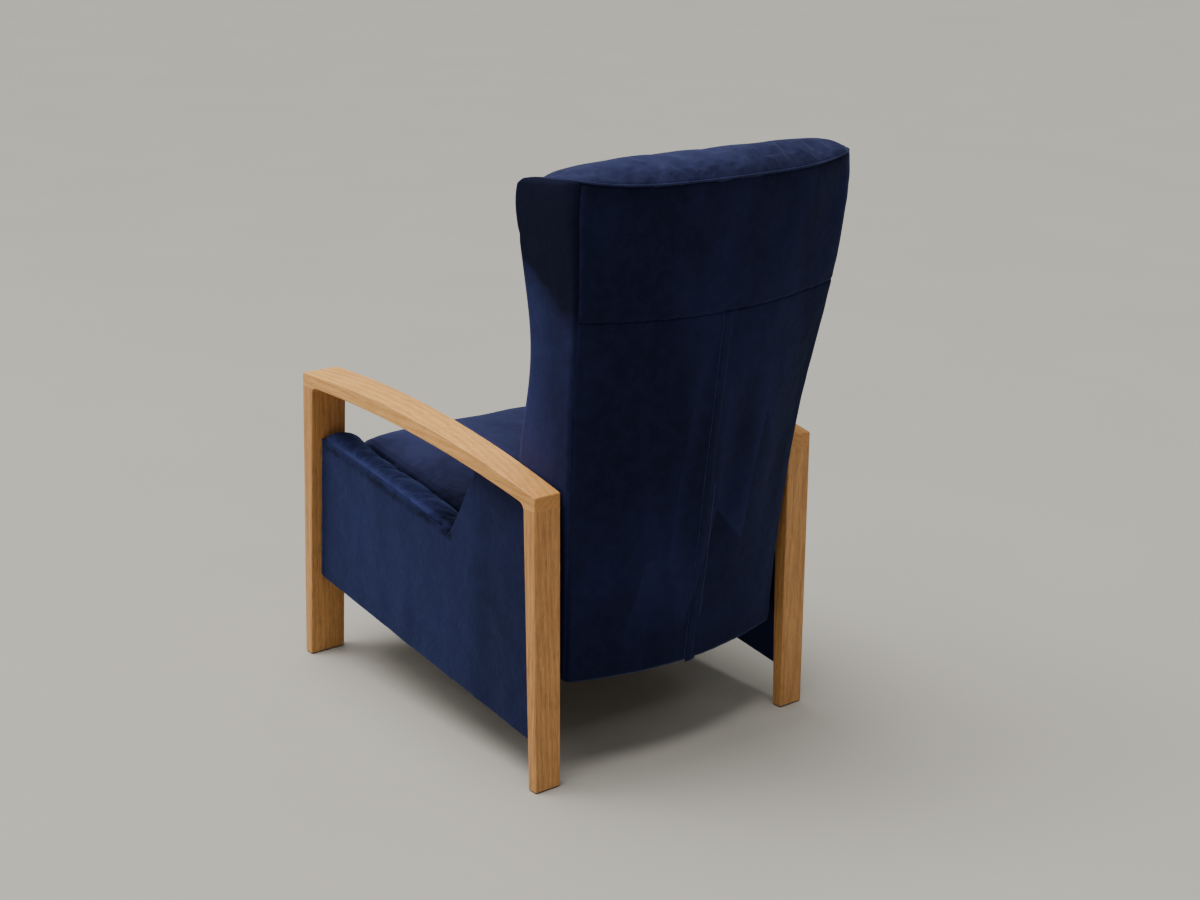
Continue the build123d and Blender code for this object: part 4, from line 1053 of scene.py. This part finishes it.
def spread(value, low, high, start=0.0, end=1.0):
    # stretch low..high of a value over start..end, eased at both ends
    inputs = {"Value": value, "From Min": low, "From Max": high, "To Min": start, "To Max": end}
    return Field(addNode(value.tree, "ShaderNodeMapRange", inputs, interpolation_type="SMOOTHSTEP"), "Result")


def blend(share, a, b):
    tree = [value.tree for value in (share, a, b) if isinstance(value, Field)][0]
    inputs = {"Factor": share, 6: a, 7: b}
    return Field(addNode(tree, "ShaderNodeMix", inputs, data_type="RGBA", blend_type="MIX"), 2)


def noise(vector, scale, detail=3.0, rough=0.5, distortion=0.0):
    inputs = {"Vector": vector, "Scale": scale, "Detail": detail, "Roughness": rough,
              "Distortion": distortion}
    return Field(addNode(vector.tree, "ShaderNodeTexNoise", inputs), "Fac")


def bands(vector, inputs, **settings):
    return Field(addNode(vector.tree, "ShaderNodeTexWave", {"Vector": vector, **inputs}, **settings), "Fac")


def stretched(vector, scale, turn=(0, 0, 0), move=(0, 0, 0)):
    inputs = {"Vector": vector, "Scale": scale, "Rotation": turn, "Location": move}
    return Field(addNode(vector.tree, "ShaderNodeMapping", inputs), "Vector")


def axes(place):
    node = addNode(place.tree, "ShaderNodeSeparateXYZ", {"Vector": place})
    return [Field(node, key) for key in ("X", "Y", "Z")]


def makeGroup(name, build, outputs, **inputs):
    # a shared effect: build takes the inputs by name and gives the outputs in their order
    tree = bpy.data.node_groups.new(name, "ShaderNodeTree")
    for label, value in {"Vector": None, **spaced(inputs)}.items():
        kind = "Vector" if value is None else "Color" if isinstance(value, tuple) else "Float"
        socket = tree.interface.new_socket(name=label, in_out="INPUT", socket_type="NodeSocket" + kind)
        if value is not None:
            socket.default_value = value
    for label in outputs:
        kind = "Color" if label == "Color" else "Float"
        tree.interface.new_socket(name=label, in_out="OUTPUT", socket_type="NodeSocket" + kind)
    source, result = tree.nodes.new("NodeGroupInput"), tree.nodes.new("NodeGroupOutput")
    given = {label: Field(source, label) for label in ("Vector", *spaced(inputs))}
    connect(result, dict(zip(outputs, build(given))))
    return tree


def useGroup(name, place, **values):
    inputs = {"Vector": place, **spaced(values)}
    node = addNode(place.tree, "ShaderNodeGroup", inputs, node_tree=groups[name])
    return {socket.name: Field(node, socket.name) for socket in node.outputs}


def nap(given):
    # brushed pile: broad patches that lie one way or the other, hard-edged strokes, mottle and single tufts;
    # the painted shade input then darkens it towards the shaded colour, and where it is below nothing it
    # lightens it as painted light
    place, size = given["Vector"], 1.0 / given["Patch Size"]
    leaning = stretched(place, (1.0, 1.0, 0.42), (0.0, 0.28, 0.0))
    broad = spread(noise(leaning, size, 2.0, 0.5, 0.4), 0.38, 0.64)
    strokes = stretched(place, (1.0, 0.5, 0.24), (0.0, -0.16, 0.0), (0.31, 0.0, 0.13))
    cells = addNode(place.tree, "ShaderNodeTexVoronoi",
                    {"Vector": strokes, "Scale": size * 1.8, "Randomness": 1.0})
    lot = Field(addNode(place.tree, "ShaderNodeSeparateColor", {"Color": Field(cells, "Color")}), "Red")
    stroke = lot * spread(Field(cells, "Distance"), 0.05, 0.75) + 0.3
    mottle = noise(place, size * 8.0, 4.0, 0.62, 0.3)
    tufts = noise(place, 1500.0, 2.0, 0.6)
    lay = broad * 0.50 + 0.08 + (stroke - 0.5) * given["Stroke"] + spread(mottle, 0.32, 0.72) * 0.30
    lay = lay * given["Contrast"] + (given["Contrast"] * -0.5 + 0.5)
    lay = lay + spread(tufts, 0.25, 0.75, -0.05, 0.05) - given["Turned"]
    creases = noise(place, 26.0, 4.0, 0.55, 0.6)
    return (blend(lay, given["Shade"], given["Lit"]), spread(lay, 0.0, 1.0, 0.88, 0.62),
            creases * 0.0022 + tufts * 0.00010)


def grain(given):
    # wood whose fibres run along local Z: wandering growth rings, fine pores and slow changes of tone
    place = given["Vector"]
    wander = noise(stretched(place, (1.0, 1.0, 0.045)), 9.0, 3.0, 0.5, 0.2)
    rings = bands(stretched(place, (1.0, 1.0, 0.10), (0.05, 0.02, 0.0), (0.06, 0.11, 0.0)), {
        "Scale": 0.32 / given["Ring Gap"], "Distortion": 5.5, "Detail": 2.0, "Detail Scale": 1.2,
        "Detail Roughness": 0.55}, wave_type="RINGS", rings_direction="Z", wave_profile="SIN")
    fine = stretched(place, (1.0, 1.0, 0.022))
    pores = spread(noise(fine, 900.0, 2.0, 0.55), 0.54, 0.66)
    fibres = noise(fine, 340.0, 4.0, 0.6)
    flecks = spread(noise(stretched(place, (1.0, 1.0, 0.06)), 560.0, 2.0, 0.6), 0.56, 0.66)
    figure = spread(noise(stretched(place, (1.0, 1.0, 0.10)), 150.0, 3.0, 0.6, 0.4), 0.36, 0.66)
    tone = spread(rings, 0.25, 0.95) * given["Contrast"] * 0.55 + spread(wander, 0.3, 0.7, 0.0, 0.22)
    tone = tone + spread(fibres, 0.3, 0.7, -0.10, 0.20) + (figure * 0.24 - 0.04)
    dots = (pores * 0.5 + flecks * 0.6) * given["Pores"]
    colour = blend(tone, given["Light"], given["Dark"])
    colour = blend(dots, colour, blend(0.6, colour, (0.09, 0.045, 0.02, 1)))
    return colour, spread(tone + dots, 0.0, 1.0, 0.46, 0.62), fibres * 0.00006 - dots * 0.00016


def wear(given):
    # share of wear where the bevelled normal leaves the true one, broken up by noise
    place = given["Vector"]
    bevel = Field(addNode(place.tree, "ShaderNodeBevel", {"Radius": given["Radius"]}, samples=4), "Normal")
    true = Field(addNode(place.tree, "ShaderNodeNewGeometry"), "True Normal")
    facing = addNode(place.tree, "ShaderNodeVectorMath", {0: bevel, 1: true}, operation="DOT_PRODUCT")
    edge = spread(1.0 - Field(facing, "Value"), 0.03, 0.22)
    broken = spread(noise(place, 60.0, 4.0, 0.6), 0.35, 0.65, 0.25, 1.0)
    return edge * broken, spread(noise(place, 22.0, 5.0, 0.65), 0.45, 0.75)


def weave(given):
    # flat tapes over and under: two waves, one for each direction, and which of them lies on top
    place, inputs = given["Vector"], {"Scale": 0.318 / given["Tape"], "Distortion": 0.3}
    height = maths("MAXIMUM", *[bands(place, inputs, bands_direction=way) for way in ("X", "DIAGONAL")])
    dirt = noise(place, 30.0, 3.0, 0.6)
    return height * spread(dirt, 0.3, 0.7, 0.6, 1.0), height * 0.0004


groups = {
    "nap": makeGroup("velvetNap", nap, ("Color", "Roughness", "Height"), Shade=(0.004, 0.008, 0.035, 1),
                     Lit=(0.02, 0.05, 0.2, 1), Patch_Size=0.2, Stroke=0.5, Contrast=1.0, Turned=0.0),
    "grain": makeGroup("woodGrain", grain, ("Color", "Roughness", "Height"), Light=(0.6, 0.4, 0.2, 1),
                       Dark=(0.35, 0.2, 0.09, 1), Ring_Gap=0.012, Pores=0.5, Contrast=0.5),
    "wear": makeGroup("edgeWear", wear, ("Edge", "Dust"), Radius=0.002),
    "weave": makeGroup("openWeave", weave, ("Shade", "Height"), Tape=0.002),
}


def makeMaterial(name, build, **fixed):
    # build gives colour, roughness and height; fixed values sit on the shader's own sockets
    material = bpy.data.materials.new(name)
    material.use_nodes = True
    tree = material.node_tree
    colour, roughness, height = build(Field(addNode(tree, "ShaderNodeTexCoord"), "Object"))
    inputs = {**spaced(fixed), "Base Color": colour, "Roughness": roughness}
    if height is not None:
        bump = addNode(tree, "ShaderNodeBump", {"Height": height, "Distance": 1.0, "Strength": 1.0})
        inputs["Normal"] = Field(bump, "Normal")
    connect(tree.nodes["Principled BSDF"], inputs)
    return material


velvetLook = {
    "shade": (0.0037, 0.0050, 0.020, 1), "lit": (0.036, 0.0475, 0.178, 1),
    "litUp": (0.053, 0.062, 0.185, 1), "tintUp": (0.37, 0.47, 0.85, 1),
    "sheen": 0.30, "sheenTint": (0.26, 0.40, 0.85, 1), "sheenRough": 0.34, "specular": 0.10,
}
shoulderLook = {"level": 0.4135, "slope": -0.137, "ragged": 0.004, "inner": 0.288, "outer": 0.300,
                "endFrom": 0.052, "endTo": 0.040}
# painted shade on each part, where it turns from the light or lies under another part: from, to, and how much
# at each
paintedShadeRanges = {
    "back": (1.05, 1.12, 0.0, 0.10), "wingHigh": (0.81, 1.00, 0.0, 0.68),
    "wingRear": (pivotY - 0.03, pivotY + 0.11, 0.0, 0.50), "side": (-0.34, 0.30, 0.04, 0.13),
    "roll": (-0.10, 0.06, 0.02, 0.85), "seat": (-0.44, 0.05, 0.02, 0.60),
}


def paintedShadeRamp(value, key, tone=0.0):
    low, high, start, end = paintedShadeRanges[key]
    return spread(value, low, high, start - tone, end - tone)


def shoulderLine(place, above, reach, gain):
    # share of a ragged streak beside the line z = level + slope y, above it or, when negative, below it; it
    # places the painted highlight on the roll and the painted shade on the side cover
    s = shoulderLook
    x, y, z = axes(place)
    ragged = spread(noise(place, 46.0, 4.0, 0.62), 0.3, 0.7, -s["ragged"], s["ragged"])
    height = y * -s["slope"] + z - (s["level"] + above)
    near = spread(abs(height + ragged), 0.0, reach, 1.0, 0.0)
    outside = spread(abs(x), s["inner"], s["outer"])
    broken = spread(noise(place, 18.0, 3.0, 0.6), 0.36, 0.60, 0.25, 1.0)
    return near * outside * spread(y, s["endFrom"], s["endTo"]) * broken * gain


def paintedShadeBack(place, tone):
    # painted shade over the whole back, more just under the welt, and strokes only on the lower half's middle
    x, y, z = axes(place)
    low = spread(z, 0.22, 0.34) * spread(z, 0.80, 0.66)
    return paintedShadeRamp(z, "back", tone), low * spread(abs(x), 0.21, 0.13) * 1.25 + 0.10


def paintedShadeWing(place, tone):
    # painted shade, darker above the elbow and towards the rear corner, and painted light on the lower front
    x, y, z = axes(place)
    ragged = z + spread(noise(place, 9.0, 2.0), 0.3, 0.7, -0.05, 0.05)
    return paintedShadeRamp(ragged, "wingHigh") + paintedShadeRamp(y, "wingRear", tone), 0.3


def paintedShadeSide(place, tone):
    # painted shade just under the roll's shoulder, and a slow change to darker painted shade at the lower
    # rear
    return shoulderLine(place, -0.009, 0.013, 0.30) + paintedShadeRamp(axes(place)[1], "side", tone), 0.3


def paintedLightRoll(place, tone):
    # a painted highlight streak along the shoulder, and painted shade darker towards the rear
    return paintedShadeRamp(axes(place)[1], "roll", tone) - shoulderLine(place, 0.002, 0.009, 0.36), 0.6


def paintedShadeSeat(place, tone):
    # painted shade, darker under the back
    return paintedShadeRamp(axes(place)[1], "seat", tone), 0.4


def makeVelvet(name, patch, contrast, tone=0.0, over=None, up=False, sheen=1.0):
    # over gives the painted shade on the part (painted light where it is below nothing), and how much of the
    # strokes shows
    v = velvetLook

    def velvet(place):
        # turned is the painted shade given to the pile
        turned, stroke = over(place, tone) if over else (-tone, 0.3)
        pile = useGroup("nap", place, Shade=v["shade"], Lit=v["litUp" if up else "lit"], Patch_Size=patch,
                        Stroke=stroke, Contrast=contrast, Turned=turned)
        return pile["Color"], pile["Roughness"], pile["Height"]

    return makeMaterial(name, velvet, Sheen_Weight=v["sheen"] * sheen,
                        Sheen_Tint=v["tintUp" if up else "sheenTint"], Sheen_Roughness=v["sheenRough"],
                        Specular_IOR_Level=v["specular"])


woodLook = {
    # the arms' oak is set lighter than the legs' as painted light on their tops, which face the lamp
    "oakArm": {"light": (0.880, 0.455, 0.128, 1), "dark": (0.470, 0.195, 0.050, 1), "ring": 0.010,
               "pores": 0.75, "contrast": 0.45, "turn": (math.pi / 2, 0, 0), "ends": True},
    "oakLeg": {"light": (0.690, 0.340, 0.104, 1), "dark": (0.350, 0.143, 0.038, 1), "ring": 0.009,
               "pores": 0.85, "contrast": 0.40, "turn": (0, 0, 0.4), "ends": False},
    "beech": {"light": (0.600, 0.410, 0.250, 1), "dark": (0.470, 0.285, 0.150, 1), "ring": 0.014,
              "pores": 0.6, "contrast": 0.4, "turn": (0, math.pi / 2, 0), "ends": False},
}


def makeWood(name):
    w = woodLook[name]

    def wood(place):
        fibres = useGroup("grain", stretched(place, (1, 1, 1), w["turn"]), Light=w["light"], Dark=w["dark"],
                          Ring_Gap=w["ring"], Pores=w["pores"], Contrast=w["contrast"])
        worn = useGroup("wear", place, Radius=0.0025)
        colour = blend(worn["Edge"] * 0.35, fibres["Color"], (0.62, 0.42, 0.24, 1))
        if w["ends"]:
            # painted shade: the arm darkens towards its rear end, where its top falls away from the light,
            # and its end grain is darker still
            along, last = axes(place)[1], boxOf("left_arm")[1][1]
            rear = spread(along, 0.06, last - 0.01, 0.0, 0.35)
            rear = rear + spread(along, last - 0.0022, last - 0.0012, 0.0, 0.35)
            colour = blend(rear, colour, blend(0.8, colour, w["dark"]))
        return colour, fibres["Roughness"], fibres["Height"]

    return makeMaterial(name, wood, Specular_IOR_Level=0.4, Coat_Roughness=0.35, Coat_Weight=0.12)


def plywood(place):
    wood = useGroup("grain", place, Light=(0.62, 0.46, 0.28, 1), Dark=(0.48, 0.32, 0.17, 1), Ring_Gap=0.03,
                    Pores=0.35, Contrast=0.5)
    plies = bands(place, {"Scale": 230.0, "Distortion": 0.15}, bands_direction="X")
    colour = blend(spread(plies, 0.7, 0.95) * 0.45, wood["Color"], (0.20, 0.11, 0.05, 1))
    return colour, wood["Roughness"], wood["Height"]


def liningCloth(place):
    cloth = useGroup("weave", place, Tape=0.0022)
    colour = blend(cloth["Shade"], (0.006, 0.006, 0.007, 1), (0.040, 0.040, 0.044, 1))
    return colour, spread(cloth["Shade"], 0.0, 1.0, 0.9, 0.6), cloth["Height"]


def makeMetal(name, base, bright, metallic, rough, size):
    def metal(place):
        worn = useGroup("wear", place, Radius=0.0012)
        fine = noise(place, size, 3.0, 0.6)
        colour = blend(spread(fine, 0.35, 0.65), base, tuple(value * 1.35 for value in base[:3]) + (1,))
        colour = blend(worn["Edge"] * 0.6, colour, bright)
        colour = blend(worn["Dust"] * 0.25, colour, (0.16, 0.15, 0.14, 1))
        return colour, spread(fine + worn["Dust"] * 0.4, 0.3, 1.1, rough, rough + 0.25), fine * 0.00006

    return makeMaterial(name, metal, Metallic=metallic)


looks = {
    # each velvet is the same cloth set lighter or darker by its tone as painted light and shade: the back
    # darker where it faces away from the light, the fold edge lighter as a painted highlight, crest and seat
    # in the lit colour for faces turned up
    "velvetBack": makeVelvet("velvetBack", 0.20, 0.24, -0.345, paintedShadeBack),
    "velvetEdge": makeVelvet("velvetEdge", 0.10, 0.20, 0.60),
    "velvetWing": makeVelvet("velvetWing", 0.22, 0.28, 0.28, paintedShadeWing, sheen=0.20),
    "velvetSide": makeVelvet("velvetSide", 0.20, 0.22, -0.15, paintedShadeSide),
    "velvetRoll": makeVelvet("velvetRoll", 0.10, 0.26, -0.06, paintedLightRoll),
    "velvetSeat": makeVelvet("velvetSeat", 0.20, 0.26, -0.08, paintedShadeSeat, up=True),
    "velvetCrest": makeVelvet("velvetCrest", 0.16, 0.34, -0.16, up=True),
    "velvetFront": makeVelvet("velvetFront", 0.20, 0.26, -0.08),
    "oakArm": makeWood("oakArm"), "oakLeg": makeWood("oakLeg"), "beech": makeWood("beech"),
    "birchPly": makeMaterial("birchPly", plywood, Specular_IOR_Level=0.35),
    "blackLining": makeMaterial("blackLining", liningCloth, Specular_IOR_Level=0.25),
    "blackSteel": makeMetal("blackSteel", (0.018, 0.018, 0.020, 1), (0.22, 0.21, 0.20, 1), 0.6, 0.42, 700.0),
    "zincPlate": makeMetal("zincPlate", (0.46, 0.46, 0.44, 1), (0.75, 0.74, 0.72, 1), 1.0, 0.26, 160.0),
    "greyNylon": makeMetal("greyNylon", (0.060, 0.060, 0.064, 1), (0.16, 0.16, 0.16, 1), 0.0, 0.42, 500.0),
}
nodeLooks = {
    "oakArm": ["left_arm", "right_arm"],
    "oakLeg": ["left_front_leg", "right_front_leg", "left_rear_leg", "right_rear_leg"],
    "beech": ["arm_dowels", "side_board_pins", "front_cross_rail", "rear_cross_rail", "seat_side_rails",
              "seat_front_rail", "seat_rear_rail", "left_back_stile", "right_back_stile", "back_bottom_rail",
              "back_lumbar_rail", "back_middle_rail", "back_top_rail"],
    "velvetSide": ["left_side_board", "right_side_board"],
    "birchPly": ["footrest_board"],
    "blackSteel": ["left_slide_plate", "right_slide_plate", "drive_forks", "footrest_brackets",
                   "footrest_plates", "left_back_bracket", "right_back_bracket"],
    "zincPlate": ["cross_rail_bolts", "plate_screws", "slide_pins", "bracket_screws", "footrest_screws",
                  "footrest_hinge_pins", "back_bracket_screws", "pivot_pins", "drive_pins"],
    "greyNylon": ["floor_glides", "pivot_bushes", "slide_shoes", "pivot_spacers"],
}
for look, names in nodeLooks.items():
    for name in names:
        slots = frame["nodes"][name].material_slots
        for k in range(len(slots)):
            slots[k].material = looks[look]
print("materials made:", len(looks))

buildRear(looks["velvetBack"])
buildPlacket(looks["velvetBack"], looks["velvetEdge"])
buildWings(looks["velvetWing"])
buildCrest(looks["velvetCrest"])
buildFrontPads(looks["velvetFront"])
buildSideCovers(looks["velvetSide"])
buildRolls(looks["velvetRoll"])
buildSeat(looks["velvetSeat"])
buildFootrest(looks["velvetFront"])
buildLining(looks["blackLining"])
buildStraps(looks["blackLining"])


# Camera at the photograph's angle, soft lights and a pale floor
view = {"azimuth": 2.4474646, "elevation": 0.3160931, "roll": 0.0273337, "lens": 59.8827,
        "place": (2.304881, 2.862193, 1.699473)}


def placeCamera():
    a, e, r = view["azimuth"], view["elevation"], view["roll"]
    back = Vector((math.sin(a) * math.cos(e), -math.cos(a) * math.cos(e), math.sin(e)))
    right = (-back).cross(Vector((0, 0, 1))).normalized()
    up = right.cross(-back)
    level = math.cos(r) * right + math.sin(r) * up
    upright = -math.sin(r) * right + math.cos(r) * up
    data = bpy.data.cameras.new("photoCamera")
    data.lens, data.sensor_width, data.sensor_fit = view["lens"], 36.0, "HORIZONTAL"
    camera = bpy.data.objects.new("photoCamera", data)
    bpy.context.scene.collection.objects.link(camera)
    turn = Matrix((level, upright, back)).transposed().to_4x4()
    camera.matrix_world = Matrix.Translation(view["place"]) @ turn
    bpy.context.scene.camera = camera


placeCamera()

lights = {
    "windowLight": {"kind": "AREA", "place": (3.6, -2.8, 3.4), "aim": (0, 0, 0.6), "size": 2.4, "power": 70,
                    "colour": (1.0, 0.99, 0.97)},
    "fillLight": {"kind": "AREA", "place": (0.8, 4.6, 2.4), "aim": (0, 0, 0.6), "size": 2.6, "power": 8,
                  "colour": (1.0, 0.99, 0.97)},
    "ceilingLight": {"kind": "SUN", "place": (1.0, -0.5, 5.0), "aim": (0, 0, 0.4), "size": math.radians(48),
                     "power": 4.4, "colour": (1.0, 0.985, 0.955)},
}
for name, light in lights.items():
    data = bpy.data.lights.new(name, light["kind"])
    data.energy, data.color = light["power"], light["colour"]
    if light["kind"] == "SUN":
        data.angle = light["size"]
    else:
        data.size = light["size"]
    lamp = bpy.data.objects.new(name, data)
    bpy.context.scene.collection.objects.link(lamp)
    lamp.location = light["place"]
    lamp.rotation_euler = (Vector(light["aim"]) - Vector(light["place"])).to_track_quat("-Z", "Y").to_euler()

world = bpy.data.worlds.new("studio")
world.use_nodes = True
world.node_tree.nodes["Background"].inputs["Color"].default_value = (0.86, 0.86, 0.84, 1)
world.node_tree.nodes["Background"].inputs["Strength"].default_value = 0.22
bpy.context.scene.world = world


def facingUp(piece):
    if piece.data.polygons[0].normal.z < 0:
        piece.data.flip_normals()
    return piece


floorLook = {"reach": 60, "low": (0.402, 0.388, 0.352, 1), "high": (0.412, 0.398, 0.362, 1), "rough": 0.6}


def floorPaint(place):
    cloud = spread(noise(place, 1.6, 2.0, 0.5), 0.3, 0.7)
    return blend(cloud, floorLook["low"], floorLook["high"]), floorLook["rough"], None


def buildFloor():
    reach = floorLook["reach"]
    v, u = grid(2, 2)
    points = stack(mix(-reach, reach, u), mix(reach, -reach, v), 0 * u)
    look = makeMaterial("paleFloor", floorPaint, Specular_IOR_Level=0.25)
    facingUp(makeMesh("paleFloor", points, gridFaces(2, 2), look))
buildFloor()
